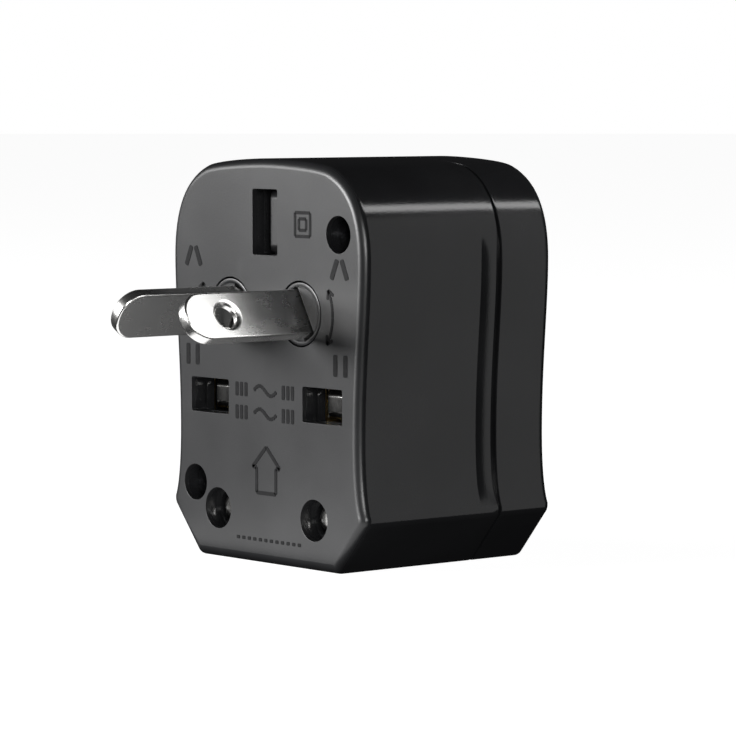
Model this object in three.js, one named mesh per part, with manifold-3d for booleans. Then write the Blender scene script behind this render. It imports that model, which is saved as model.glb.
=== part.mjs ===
// Universal travel adapter: a rounded block with a plug face (-Y) and a socket face (+Y).
//
// Every shape below is written with y = 0 on the plug face, y growing into the body, and
// z = 0 on the line through the two UK power pins. The model group then moves the whole
// adapter so that its flat base stands on z = 0 and its depth is centred on y = 0.

import * as THREE from "three";
import { mergeVertices } from "three/addons/utils/BufferGeometryUtils.js";
import Module from "manifold-3d";

const wasm = await Module();
wasm.setup();

// ---- Body ----
const BODY_DEPTH = 31;
const BASE_Z = -20.5;
const TOP_Z = 30.1;
const BASE_HALF = 13.8;
const FOOT_HALF = 19.1;
const FOOT_Z = -14.2;
const WAIST_HALF = 18;
const WAIST_Z = -4;
const SHOULDER_HALF = 19.05;
const SHOULDER_Z = 17.5;
const CORNER_HALF = 12.3;
const CORNER_Z = 29.1;
const WALL = 1.9;
const FACE_WALL = 2.2;
const EDGE_RADIUS = 1.3;
const SEAM_Y = 22;
const SEAM_GAP = 0.4;
const CLEARANCE = 0.3;
const CURVE_STEPS = 7;
const ARC_STEPS = 8;
const ROUND_SIDES = 24;

// ---- Standard plug patterns, measured from the pin line ----
const UK_PIN_X = 11.1;
const UK_EARTH_Z = 22.2;
const UK_PIN = { width: 6.35, height: 4 };
const UK_EARTH = { width: 4, height: 7.9 };
const UK_SHANK_RADIUS = 1.5;
const EU_PIN_X = 9.5;
const EU_PIN_Z = -14.2;
const EU_PIN_RADIUS = 2;
const EU_CORE_RADIUS = 1.3;
const EU_TIP_LENGTH = 9;
const BLADE_X = 6.85;
const BLADE_Z = 11.1;
const BLADE = { width: 6.3, thickness: 1.6, reach: 18.05, tipRadius: 2.4, edge: 0.2 };
const BLADE_HOLE = { radius: 1.6, inset: 6.3 };
const TANG = { half: 1.8, start: 3.9, end: 7.6 };
const BLADE_TILT = THREE.MathUtils.degToRad(30);

// ---- Openings in the plug face ----
const UK_HOLE = { width: 7.6, height: 4.4 };
const UK_EARTH_HOLE = { width: 4.9, height: 8.2 };
const EU_HOLE_RADIUS = 2.6;
const COLLAR_RADIUS = 3.9;
const COLLAR_HOLE_RADIUS = 4.1;
const COLLAR_FLANGE_RADIUS = 4.8;
const SCREWS = [
  { name: "screw_upper", x: 14.2, z: 21.03 },
  { name: "screw_lower", x: -14.15, z: -11.25 },
];
const SCREW_HOLE_RADIUS = 2.3;
const SCREW_SHANK_HOLE_RADIUS = 1.4;
const POST_PILOT_RADIUS = 1.3;
const BOSS_RADIUS = 3;
const BOSS_END_Y = 8;
const POST_RADIUS = 2.4;

// ---- Sliding carriers: y of the front face, thickness and slide knob height ----
const US_CARRIER = { y: 4.3, thickness: 4, knobZ: 13.3 };
const UK_CARRIER = { y: 24.8, thickness: 3.5, knobZ: 3.4 };
const EU_CARRIER = { y: 25.3, thickness: 3.2, knobZ: -5.9 };
const UK_TIP_Y = 2.8;
const EU_TIP_Y = 2;
const ARM_X = -15.6;
const HUB_RADIUS = 3;

// ---- Slider bay in the left wall ----
const BAY_FLOOR_X = -17.1;
const BAY = { yMin: 2.4, yMax: 29, zMin: -9.3, zMax: 16.7 };
const LINER_X = -16;
const KNOB_SLOT_HALF = 1.4;

// ---- Socket face ----
const SOCKET_Z = 4.75;
const SOCKET_HALF = { width: 11.5, height: 16.5 };
const SOCKET_CORNER = 7;
const EU_POLE = 9.5;
const US_POLE = 6.35;
const AU_POLE = 6.85;
const POLE_HOLE_RADIUS = 2.6;
const POLE_SLOT = { width: 6.9, height: 2 };
const POLE_WAIST = { offset: 8.1, width: 4.6, height: 3.6 };
const LENS_Z = 25.3;
const LENS_RADIUS = 1.2;
const CLIP = { halfWidth: 2.9, near: 4.75, far: 12.25, leaf: 0.4, start: 10, end: 27 };

// ---- Contact plates ----
const PLATE = { start: 3.4, end: 3.9, near: 0.8, far: 15.6, bottom: -17.2, top: 17 };
const PLATE_WINDOW = { width: 7.6, height: 4.8, euRadius: 2.5, hubRadius: 3.7 };
const TAB = { half: 2.2, height: 2.4, leafHeight: 0.5, end: 9.7, live: 15.6, neutral: -6 };

// ---- Finishes ----
const CASE = { color: 0x3a3b3e, roughness: 0.45, metalness: 0 };
const DARK = { color: 0x242528, roughness: 0.5, metalness: 0 };
const PALE = { color: 0xb9bbbd, roughness: 0.5, metalness: 0 };
const NICKEL = { color: 0xc9c8c4, roughness: 0.22, metalness: 1 };
const BRASS = { color: 0xb8964a, roughness: 0.35, metalness: 1 };
const STEEL = { color: 0x9fa2a5, roughness: 0.3, metalness: 1 };
const LENS = { color: 0xb8322c, roughness: 0.15, metalness: 0 };

const model = new THREE.Group();
model.name = "universal_travel_adapter";
model.position.set(0, -BODY_DEPTH / 2, -BASE_Z);

// ---------------------------------------------------------------- solids

/** Turns a closed three.js geometry into a solid that can be cut and joined. */
function solid(geometry) {
  geometry.deleteAttribute("normal");
  geometry.deleteAttribute("uv");
  const merged = mergeVertices(geometry, 1e-4);
  const mesh = new wasm.Mesh({
    numProp: 3,
    vertProperties: Float32Array.from(merged.attributes.position.array),
    triVerts: Uint32Array.from(merged.index.array),
  });
  return new wasm.Manifold(mesh);
}

/** A box between two corners. */
function box(x0, x1, y0, y1, z0, z1) {
  const geometry = new THREE.BoxGeometry(x1 - x0, y1 - y0, z1 - z0);
  geometry.translate((x0 + x1) / 2, (y0 + y1) / 2, (z0 + z1) / 2);
  return solid(geometry);
}

/** A round rod along Y. */
function rod(x, z, radius, y0, y1, sides = ROUND_SIDES) {
  const geometry = new THREE.CylinderGeometry(radius, radius, y1 - y0, sides);
  geometry.translate(x, (y0 + y1) / 2, z);
  return solid(geometry);
}

/** An outline in the XZ plane carried from y0 to y1, with optional rounded end edges. */
function prism(outline, y0, y1, edge = 0) {
  const geometry = new THREE.ExtrudeGeometry(outline, {
    depth: y1 - y0 - 2 * edge,
    curveSegments: ARC_STEPS,
    bevelEnabled: edge > 0,
    bevelThickness: edge,
    bevelSize: edge,
    bevelOffset: -edge,
    bevelSegments: 3,
  });
  geometry.rotateX(Math.PI / 2);
  geometry.translate(0, y1 - edge, 0);
  return solid(geometry);
}

/** A turned piece along Y: points are [radius, y], closed on the axis. */
function turned(x, z, profile, sides = ROUND_SIDES) {
  const geometry = new THREE.LatheGeometry(profile.map(([r, y]) => new THREE.Vector2(r, y)), sides);
  geometry.translate(x, 0, z);
  return solid(geometry);
}

/** Turns a solid about the Y line through (x, z). */
function tiltAbout(body, x, z, angle) {
  const degrees = THREE.MathUtils.radToDeg(angle);
  return body.translate([-x, 0, -z]).rotate([0, degrees, 0]).translate([x, 0, z]);
}

/** Adds a solid to the model as a named mesh. */
function addPiece(name, body, finish) {
  const cut = body.getMesh();
  const geometry = new THREE.BufferGeometry();
  geometry.setAttribute("position", new THREE.BufferAttribute(cut.vertProperties, 3));
  geometry.setIndex(new THREE.BufferAttribute(cut.triVerts, 1));
  geometry.computeVertexNormals();
  const mesh = new THREE.Mesh(geometry, new THREE.MeshStandardMaterial(finish));
  mesh.name = name;
  model.add(mesh);
}

// ---------------------------------------------------------------- outlines

/** The body's outline seen along Y, pulled in by inset: waisted sides, chamfered foot. */
function bodyOutline(inset) {
  const chamferShare = 0.45;
  const base = BASE_Z + inset;
  const top = TOP_Z - inset;
  const foot = FOOT_HALF - inset;
  const waist = WAIST_HALF - inset;
  const shoulder = SHOULDER_HALF - inset;
  const corner = CORNER_HALF - inset * 0.4;
  const cornerZ = CORNER_Z - inset * 0.9;
  const half = new THREE.Path();
  half.moveTo(BASE_HALF - inset * chamferShare, base);
  const footZ = FOOT_Z + inset * chamferShare;
  half.lineTo(foot, footZ);
  half.lineTo(foot, footZ + 0.9);
  half.bezierCurveTo(foot - 0.8, FOOT_Z + 2.7, waist, FOOT_Z + 6.2, waist, WAIST_Z);
  half.bezierCurveTo(waist, WAIST_Z + 8.5, shoulder, SHOULDER_Z - 6, shoulder, SHOULDER_Z);
  half.bezierCurveTo(shoulder, SHOULDER_Z + 5.5, corner + 4.9, cornerZ - 1.8, corner, cornerZ);
  half.quadraticCurveTo(corner - 2.72, top, 0, top);
  const right = half.getPoints(CURVE_STEPS);
  const left = right.slice(0, -1).reverse().map((point) => new THREE.Vector2(-point.x, point.y));
  return new THREE.Shape([...right, ...left]);
}

/** A rounded rectangle in the XZ plane. */
function roundedRectangle(x, z, halfWidth, halfHeight, radius) {
  const shape = new THREE.Shape();
  const right = x + halfWidth - radius;
  const left = x - halfWidth + radius;
  const high = z + halfHeight - radius;
  const low = z - halfHeight + radius;
  shape.absarc(right, low, radius, -Math.PI / 2, 0);
  shape.absarc(right, high, radius, 0, Math.PI / 2);
  shape.absarc(left, high, radius, Math.PI / 2, Math.PI);
  shape.absarc(left, low, radius, Math.PI, 1.5 * Math.PI);
  return shape;
}

/** Everything between two depths, wider and higher than the body. */
function layer(y0, y1) {
  return box(-25, 25, y0, y1, -30, 40);
}

/** A rectangular hole, centred on (x, z) and running from y0 to y1. */
function slot(x, z, width, height, y0, y1) {
  return box(x - width / 2, x + width / 2, y0, y1, z - height / 2, z + height / 2);
}

// ---------------------------------------------------------------- housings

/** The whole outer block, before it is hollowed and split at the seam. */
function bodyBlank() {
  return prism(bodyOutline(0), 0, BODY_DEPTH, EDGE_RADIUS);
}

/** The hollow inside the walls; the left wall is thicker behind the slider bay. */
function bodyHollow(y0, y1) {
  const liner = box(-20, LINER_X, y0 - 1, y1 + 1, BAY.zMin - 0.7, BAY.zMax + 0.7);
  return prism(bodyOutline(WALL), y0, y1).subtract(liner);
}

/** The recess in the left wall with the three knob slots through it. */
function sliderBay() {
  const bay = box(-21, BAY_FLOOR_X, BAY.yMin, BAY.yMax, BAY.zMin, BAY.zMax);
  const first = US_CARRIER.y + US_CARRIER.thickness / 2 - 1.5;
  const last = EU_CARRIER.y + EU_CARRIER.thickness / 2 + 1.5;
  const slots = [US_CARRIER, UK_CARRIER, EU_CARRIER].map(({ knobZ }) =>
    box(-21, ARM_X + 0.4, first, last, knobZ - KNOB_SLOT_HALF, knobZ + KNOB_SLOT_HALF));
  return slots.reduce((cut, next) => cut.add(next), bay);
}

/** The plug face's openings. */
function plugOpenings() {
  const through = [-1, FACE_WALL + 1];
  let holes = slot(0, UK_EARTH_Z, UK_EARTH_HOLE.width, UK_EARTH_HOLE.height, ...through);
  for (const side of [-1, 1]) {
    holes = holes.add(slot(side * UK_PIN_X, 0, UK_HOLE.width, UK_HOLE.height, ...through));
    holes = holes.add(rod(side * EU_PIN_X, EU_PIN_Z, EU_HOLE_RADIUS, ...through));
    holes = holes.add(rod(side * BLADE_X, BLADE_Z, COLLAR_HOLE_RADIUS, ...through, 32));
  }
  return holes;
}

function buildRearHousing() {
  const shell = bodyBlank().intersect(layer(-1, SEAM_Y));
  let body = shell.subtract(bodyHollow(FACE_WALL, SEAM_Y + 1));
  for (const { x, z } of SCREWS) {
    body = body.subtract(rod(x, z, POST_RADIUS + 0.4, BOSS_END_Y, SEAM_Y + 1));
    body = body.add(rod(x, z, BOSS_RADIUS, FACE_WALL - 0.5, BOSS_END_Y));
    body = body.subtract(rod(x, z, SCREW_HOLE_RADIUS, -1, 6, 20));
    body = body.subtract(rod(x, z, SCREW_SHANK_HOLE_RADIUS, 5, BOSS_END_Y + 1, 16));
  }
  body = body.subtract(plugOpenings()).subtract(sliderBay());
  addPiece("rear_housing", body, CASE);
}

/** The lip of the front housing that reaches into the rear housing, above and below. */
function seamTongue() {
  const y0 = SEAM_Y - 2.5;
  const root = SEAM_Y + SEAM_GAP;
  const y1 = root + 1.2;
  const lip = prism(bodyOutline(WALL + CLEARANCE), y0, y1);
  const foot = prism(bodyOutline(WALL - 0.4), root, y1);
  const inside = prism(bodyOutline(WALL + CLEARANCE + 0.8), y0 - 1, y1 + 1);
  const sides = box(-25, 25, y0 - 1, y1 + 1, -10, 19.5);
  return lip.add(foot).subtract(inside).subtract(sides);
}

function socketOutline(inset) {
  const { width, height } = SOCKET_HALF;
  return roundedRectangle(0, SOCKET_Z, width - inset, height - inset, SOCKET_CORNER - inset);
}

function buildFrontHousing() {
  const front = SEAM_Y + SEAM_GAP;
  let body = bodyBlank().intersect(layer(front, BODY_DEPTH + 1));
  body = body.subtract(bodyHollow(front - 1, BODY_DEPTH - FACE_WALL));
  let tongue = seamTongue();
  let posts = null;
  for (const { x, z } of SCREWS) {
    tongue = tongue.subtract(rod(x, z, POST_RADIUS + 1.2, SEAM_Y - 4, SEAM_Y + 4));
    const post = rod(x, z, POST_RADIUS, BOSS_END_Y + CLEARANCE, BODY_DEPTH - FACE_WALL + 0.5);
    posts = posts ? posts.add(post) : post;
  }
  body = body.add(tongue).add(posts);
  for (const { x, z } of SCREWS) {
    body = body.subtract(rod(x, z, POST_PILOT_RADIUS, BOSS_END_Y, BOSS_END_Y + 9, 16));
  }
  body = body.subtract(prism(socketOutline(0), BODY_DEPTH - FACE_WALL - 1, BODY_DEPTH + 1));
  const lens = rod(0, LENS_Z, LENS_RADIUS + CLEARANCE, BODY_DEPTH - FACE_WALL - 1, BODY_DEPTH + 1, 16);
  addPiece("front_housing", body.subtract(lens).subtract(sliderBay()), CASE);
}

/** One combined socket aperture: round EU hole, flat US slot and slanted AU slots. */
function socketAperture(direction) {
  const y = [BODY_DEPTH - 4, BODY_DEPTH + 1];
  const { width, height } = POLE_SLOT;
  const auZ = SOCKET_Z + direction * AU_POLE;
  const waistZ = SOCKET_Z + direction * POLE_WAIST.offset;
  return rod(0, SOCKET_Z + direction * EU_POLE, POLE_HOLE_RADIUS, ...y)
    .add(slot(0, SOCKET_Z + direction * US_POLE, width, height, ...y))
    .add(tiltAbout(slot(0, auZ, width, height, ...y), 0, auZ, direction * BLADE_TILT))
    .add(slot(0, waistZ, POLE_WAIST.width, POLE_WAIST.height, ...y));
}

function buildSocketPlate() {
  const back = BODY_DEPTH - FACE_WALL + 0.1;
  let plate = prism(socketOutline(CLEARANCE), back, BODY_DEPTH - 0.5, 0.3);
  plate = plate.subtract(socketAperture(1)).subtract(socketAperture(-1));
  addPiece("socket_plate", plate, DARK);
}

function buildIndicatorLens() {
  const back = BODY_DEPTH - FACE_WALL;
  const edge = BODY_DEPTH - 0.2;
  const profile = [
    [0, back], [LENS_RADIUS, back], [LENS_RADIUS, edge], [LENS_RADIUS - 0.5, BODY_DEPTH],
    [0, BODY_DEPTH],
  ];
  addPiece("indicator_lens", turned(0, LENS_Z, profile, 16), LENS);
}

// ---------------------------------------------------------------- folding US / AU blades

/** A flat blade standing upright at (x, z): rounded tip in front, narrow tang behind. */
function uprightBlade(x, z, drilled) {
  const half = BLADE.width / 2;
  const tip = -BLADE.reach;
  const { tipRadius, edge } = BLADE;
  const outline = new THREE.Shape();
  outline.moveTo(TANG.start, -half);
  outline.lineTo(TANG.start, -TANG.half);
  outline.lineTo(TANG.end, -TANG.half);
  outline.lineTo(TANG.end, TANG.half);
  outline.lineTo(TANG.start, TANG.half);
  outline.lineTo(TANG.start, half);
  outline.lineTo(tip + tipRadius, half);
  outline.quadraticCurveTo(tip, half, tip, half - tipRadius);
  outline.lineTo(tip, -half + tipRadius);
  outline.quadraticCurveTo(tip, -half, tip + tipRadius, -half);
  if (drilled) {
    const hole = new THREE.Path();
    hole.absarc(tip + BLADE_HOLE.inset, 0, BLADE_HOLE.radius, 0, 2 * Math.PI, true);
    outline.holes.push(hole);
  }
  const geometry = new THREE.ExtrudeGeometry(outline, {
    depth: BLADE.thickness - 2 * edge,
    curveSegments: ARC_STEPS,
    bevelThickness: edge,
    bevelSize: edge,
    bevelOffset: -edge,
    bevelSegments: 1,
  });
  geometry.translate(0, 0, edge - BLADE.thickness / 2);
  geometry.applyMatrix4(new THREE.Matrix4().makeBasis(
    new THREE.Vector3(0, 1, 0), new THREE.Vector3(0, 0, 1), new THREE.Vector3(1, 0, 0)));
  geometry.translate(x, 0, z);
  return solid(geometry);
}

function buildBladePair() {
  for (const [name, side] of [["left", -1], ["right", 1]]) {
    const x = side * BLADE_X;
    const tilt = -side * BLADE_TILT;
    const blade = uprightBlade(x, BLADE_Z, side > 0);
    addPiece(`blade_${name}`, tiltAbout(blade, x, BLADE_Z, tilt), NICKEL);

    const collarSlot = slot(x, BLADE_Z, BLADE.thickness + 0.6, BLADE.width + 0.6, -1, 4);
    const collar = rod(x, BLADE_Z, COLLAR_RADIUS, 0.05, 2.8, 32)
      .add(rod(x, BLADE_Z, COLLAR_FLANGE_RADIUS, 2.5, 3.1, 32))
      .subtract(tiltAbout(collarSlot, x, BLADE_Z, tilt));
    addPiece(`blade_collar_${name}`, collar, CASE);

    const { y, thickness } = US_CARRIER;
    const hubSlot = slot(x, BLADE_Z, BLADE.thickness + 0.6, 4.2, y - 1, y + thickness + 1);
    const hub = rod(x, BLADE_Z, HUB_RADIUS, y, y + thickness)
      .subtract(tiltAbout(hubSlot, x, BLADE_Z, tilt));
    addPiece(`blade_hub_${name}`, hub, BRASS);
  }
}

/** The pocket in a carrier's arm that takes the knob's stem and spring. */
function knobPocket({ y, thickness, knobZ }) {
  const middle = y + thickness / 2;
  return box(ARM_X - 1, -12, middle - 1.2, middle + 1.2, knobZ - 1.2, knobZ + 1.2);
}

function buildUsAuCarrier() {
  const y0 = US_CARRIER.y;
  const y1 = y0 + US_CARRIER.thickness;
  let body = box(-9, 9, y0, y1, 5.7, 9.1);
  for (const side of [-1, 1]) {
    const ring = rod(side * BLADE_X, BLADE_Z, HUB_RADIUS + 1.5, y0, y1);
    const [near, far] = side < 0 ? [-20, -3.1] : [3.1, 20];
    body = body.add(ring.intersect(box(near, far, y0, y1, 0, 20)));
  }
  body = body.add(box(ARM_X, -9, y0, y1, 11.6, 15));
  for (const side of [-1, 1]) {
    body = body.subtract(rod(side * BLADE_X, BLADE_Z, HUB_RADIUS + 0.25, y0 - 1, y1 + 1));
  }
  addPiece("us_au_carrier", body.subtract(knobPocket(US_CARRIER)), DARK);
}

// ---------------------------------------------------------------- UK pins

/** A rectangular pin with a chamfered tip and a round shank behind it. */
function ukPin(x, z, width, height, tipY) {
  const back = UK_CARRIER.y - CLEARANCE;
  const chamfer = 1;
  const outline = roundedRectangle(0, 0, width / 2, height / 2, 0.5);
  const shaft = prism(outline, tipY, back);
  const profile = new THREE.Shape();
  profile.moveTo(-width / 2, back);
  profile.lineTo(-width / 2, tipY + chamfer);
  profile.lineTo(-width / 2 + chamfer, tipY);
  profile.lineTo(width / 2 - chamfer, tipY);
  profile.lineTo(width / 2, tipY + chamfer);
  profile.lineTo(width / 2, back);
  const mould = new THREE.ExtrudeGeometry(profile, { depth: height, bevelEnabled: false });
  mould.translate(0, 0, -height / 2);
  const shank = rod(0, 0, UK_SHANK_RADIUS, back - 0.1, UK_CARRIER.y + 3.2, 16);
  return shaft.intersect(solid(mould)).add(shank).translate([x, 0, z]);
}

function buildUkPins() {
  addPiece("uk_live_pin", ukPin(UK_PIN_X, 0, UK_PIN.width, UK_PIN.height, UK_TIP_Y), NICKEL);
  addPiece("uk_neutral_pin", ukPin(-UK_PIN_X, 0, UK_PIN.width, UK_PIN.height, UK_TIP_Y), NICKEL);
  const earth = ukPin(0, UK_EARTH_Z, UK_EARTH.width, UK_EARTH.height, UK_TIP_Y - 1);
  addPiece("uk_earth_pin", earth, DARK);
}

function buildUkCarrier() {
  const y0 = UK_CARRIER.y;
  const y1 = y0 + UK_CARRIER.thickness;
  const left = box(ARM_X, -3.4, y0, y1, -2.8, 5.3);
  const right = box(3.4, 15.9, y0, y1, -2.8, 5.3);
  const bridge = box(-4, 4, y0, y1, 0.6, 5.3);
  const riser = box(12.5, 15.9, y0, y1, 4, 19.4);
  const crossbar = box(2, 14, y0, y1, 17.4, 19.4);
  const earthBlock = box(-2.9, 2.9, y0, y1, 17.4, 26.4);
  let body = left.add(right).add(bridge).add(riser).add(crossbar).add(earthBlock);
  const post = SCREWS[0];
  body = body.subtract(rod(post.x, post.z, POST_RADIUS + 0.8, y0 - 1, y1 + 1));
  const shanks = [[UK_PIN_X, 0], [-UK_PIN_X, 0], [0, UK_EARTH_Z]];
  for (const [x, z] of shanks) {
    body = body.subtract(rod(x, z, UK_SHANK_RADIUS + CLEARANCE, y0 - 1, y1 + 1, 16));
  }
  addPiece("uk_carrier", body.subtract(knobPocket(UK_CARRIER)), DARK);
}

// ---------------------------------------------------------------- EU pins

function buildEuPins() {
  const back = EU_CARRIER.y - CLEARANCE;
  const neck = EU_TIP_Y + EU_TIP_LENGTH;
  const end = EU_CARRIER.y + EU_CARRIER.thickness - CLEARANCE;
  const pin = [
    [0, EU_TIP_Y], [1.1, EU_TIP_Y + 0.1], [1.75, EU_TIP_Y + 0.6], [EU_PIN_RADIUS, EU_TIP_Y + 1.4],
    [EU_PIN_RADIUS, neck], [EU_CORE_RADIUS, neck], [EU_CORE_RADIUS, end], [0, end],
  ];
  const inner = EU_CORE_RADIUS + CLEARANCE;
  const outer = EU_PIN_RADIUS - 0.1;
  const sleeve = [
    [inner, neck + CLEARANCE], [outer, neck + CLEARANCE], [outer, back], [inner, back],
    [inner, neck + CLEARANCE],
  ];
  for (const [name, side] of [["left", -1], ["right", 1]]) {
    addPiece(`eu_pin_${name}`, turned(side * EU_PIN_X, EU_PIN_Z, pin, 20), NICKEL);
    addPiece(`eu_sleeve_${name}`, turned(side * EU_PIN_X, EU_PIN_Z, sleeve, 20), DARK);
  }
}

function buildEuCarrier() {
  const y0 = EU_CARRIER.y;
  const y1 = y0 + EU_CARRIER.thickness;
  const block = box(-12, 12, y0, y1, -16.8, -9);
  const arm = box(-10, -3.4, y0, y1, -10, -4).add(box(ARM_X, -8, y0, y1, -7.9, -4));
  let body = block.add(arm);
  const post = SCREWS[1];
  body = body.subtract(rod(post.x, post.z, BOSS_RADIUS + 0.35, y0 - 1, y1 + 1));
  for (const side of [-1, 1]) {
    const socket = rod(side * EU_PIN_X, EU_PIN_Z, EU_CORE_RADIUS + CLEARANCE, y0 - 1, y1 + 1, 16);
    body = body.subtract(socket);
  }
  addPiece("eu_carrier", body.subtract(knobPocket(EU_CARRIER)), DARK);
}

// ---------------------------------------------------------------- slider knobs

/** A knob: ribbed pad in the bay, stem through the slot into the carrier's pocket. */
function knob({ y, thickness, knobZ }) {
  const middle = y + thickness / 2;
  const padOuter = -19.3;
  const padInner = BAY_FLOOR_X - 1.2;
  let body = box(padOuter, padInner, middle - 3.4, middle + 3.4, knobZ - 2.4, knobZ + 2.4);
  body = body.intersect(layer(BAY.yMin + 0.4, BAY.yMax - 0.4));
  for (const rib of [-2, 0, 2]) {
    const groove = box(-20, padOuter + 0.35, middle + rib - 0.4, middle + rib + 0.4, -30, 40);
    body = body.subtract(groove);
  }
  const stem = box(padInner - 0.1, -15, middle - 0.9, middle + 0.9, knobZ - 0.9, knobZ + 0.9);
  return body.add(stem);
}

/** A small coil spring between the knob's stem and the pocket's floor. */
function knobSpring({ y, thickness, knobZ }) {
  const middle = y + thickness / 2;
  const turns = 3;
  const coilRadius = 0.75;
  const wire = 0.12;
  const start = -14.6;
  const length = 2.2;
  const points = [];
  for (let step = 0; step <= turns * 8; step += 1) {
    const angle = (step / 8) * 2 * Math.PI;
    const along = start + wire + (step / (turns * 8)) * (length - 2 * wire);
    points.push(new THREE.Vector3(
      along, middle + coilRadius * Math.cos(angle), knobZ + coilRadius * Math.sin(angle)));
  }
  const section = new THREE.Shape();
  section.moveTo(wire, 0);
  section.lineTo(0, wire);
  section.lineTo(-wire, 0);
  section.lineTo(0, -wire);
  const path = new THREE.CatmullRomCurve3(points);
  const geometry = new THREE.ExtrudeGeometry(section, { steps: turns * 8, extrudePath: path });
  return solid(geometry);
}

function buildKnobs() {
  const sets = { us_au: US_CARRIER, uk: UK_CARRIER, eu: EU_CARRIER };
  for (const [name, carrier] of Object.entries(sets)) {
    addPiece(`knob_${name}`, knob(carrier), PALE);
    addPiece(`knob_spring_${name}`, knobSpring(carrier), STEEL);
  }
}

// ---------------------------------------------------------------- contacts and screws

/** A stamped contact plate behind the plug face; its tab crosses the middle at tabZ. */
function contactPlate(side, tabZ, otherTabZ) {
  const { start, end, bottom, top } = PLATE;
  const through = [start - 1, end + 1];
  const [near, far] = side < 0 ? [-PLATE.far, -PLATE.near] : [PLATE.near, PLATE.far];
  const tabSpan = TAB.height / 2;
  const notch = { half: TAB.half + 0.6, span: tabSpan + 0.6 };
  let plate = box(near, far, start, end, bottom, top);
  plate = plate.intersect(prism(bodyOutline(WALL + 0.5), start, end));
  plate = plate.subtract(
    box(-notch.half, notch.half, ...through, otherTabZ - notch.span, otherTabZ + notch.span));
  plate = plate.add(box(-TAB.half, TAB.half, start, end, tabZ - tabSpan, tabZ + tabSpan));
  plate = plate.subtract(rod(side * BLADE_X, BLADE_Z, PLATE_WINDOW.hubRadius, ...through));
  plate = plate.subtract(
    slot(side * UK_PIN_X, 0, PLATE_WINDOW.width, PLATE_WINDOW.height, ...through));
  plate = plate.subtract(rod(side * EU_PIN_X, EU_PIN_Z, PLATE_WINDOW.euRadius, ...through));
  for (const { x, z } of SCREWS) {
    plate = plate.subtract(rod(x, z, BOSS_RADIUS + 0.4, ...through));
  }
  const leaf = TAB.leafHeight / 2;
  return plate.add(box(-2, 2, start, TAB.end, tabZ - leaf, tabZ + leaf));
}

/** A contact clip behind one socket aperture: two leaves joined by a web. */
function contactClip(direction) {
  const near = SOCKET_Z + direction * CLIP.near;
  const far = SOCKET_Z + direction * CLIP.far;
  const leaf = CLIP.leaf * direction;
  const half = CLIP.halfWidth;
  const ordered = (a, b) => [Math.min(a, b), Math.max(a, b)];
  return box(-half, half, CLIP.start, CLIP.end, ...ordered(near, near + leaf))
    .add(box(-half, half, CLIP.start, CLIP.end, ...ordered(far - leaf, far)))
    .add(box(-half, half, CLIP.start, CLIP.start + CLIP.leaf, ...ordered(near, far)));
}

function buildContacts() {
  addPiece("live_plate", contactPlate(1, TAB.live, TAB.neutral), BRASS);
  addPiece("neutral_plate", contactPlate(-1, TAB.neutral, TAB.live), BRASS);
  addPiece("live_clip", contactClip(1), BRASS);
  addPiece("neutral_clip", contactClip(-1), BRASS);
}

function buildScrews() {
  const headY = 4.1;
  const profile = [
    [0, headY + 0.1], [1.2, headY], [1.85, headY + 0.5], [1.85, 5.7], [1.05, 5.7], [1.05, 15.4],
    [0.3, 16.4], [0, 16.4],
  ];
  for (const { name, x, z } of SCREWS) {
    const cross = slot(x, z, 2, 0.5, headY - 1, headY + 0.7).add(
      slot(x, z, 0.5, 2, headY - 1, headY + 0.7));
    addPiece(name, turned(x, z, profile, 20).subtract(cross), STEEL);
  }
}

buildRearHousing();
buildFrontHousing();
buildSocketPlate();
buildIndicatorLens();
buildBladePair();
buildUsAuCarrier();
buildUkPins();
buildUkCarrier();
buildEuPins();
buildEuCarrier();
buildKnobs();
buildContacts();
buildScrews();

export default model;
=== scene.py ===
"""Universal travel adapter: detailed shells, pins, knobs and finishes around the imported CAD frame."""

import logging
import math
from dataclasses import dataclass
from enum import Enum
from typing import Callable

import bmesh
import bpy
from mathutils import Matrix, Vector
from mathutils.geometry import interpolate_bezier


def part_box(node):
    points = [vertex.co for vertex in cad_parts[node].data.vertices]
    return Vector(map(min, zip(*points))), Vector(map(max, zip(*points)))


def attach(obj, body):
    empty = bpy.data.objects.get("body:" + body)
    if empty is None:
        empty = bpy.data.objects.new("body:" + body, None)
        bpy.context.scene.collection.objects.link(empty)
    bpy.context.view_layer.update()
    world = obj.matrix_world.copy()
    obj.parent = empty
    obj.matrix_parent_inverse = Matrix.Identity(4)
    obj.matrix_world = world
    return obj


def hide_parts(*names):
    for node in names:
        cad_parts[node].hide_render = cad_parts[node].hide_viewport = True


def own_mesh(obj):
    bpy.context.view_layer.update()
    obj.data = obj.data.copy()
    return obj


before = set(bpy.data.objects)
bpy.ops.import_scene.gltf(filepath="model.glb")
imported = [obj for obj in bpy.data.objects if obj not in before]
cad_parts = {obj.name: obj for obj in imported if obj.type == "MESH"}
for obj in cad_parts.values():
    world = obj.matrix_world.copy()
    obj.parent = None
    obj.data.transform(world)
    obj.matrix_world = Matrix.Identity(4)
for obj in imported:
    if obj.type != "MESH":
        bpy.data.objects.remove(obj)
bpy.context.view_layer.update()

LOG = logging.getLogger("travel_adapter")
MM = 0.001
TOUCH = 1e-6
CORNER_REACH = 0.45
Place = tuple[float, float, float]
Flat = tuple[float, float]


# ------------------------------------------------------------------ reference planes


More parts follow.
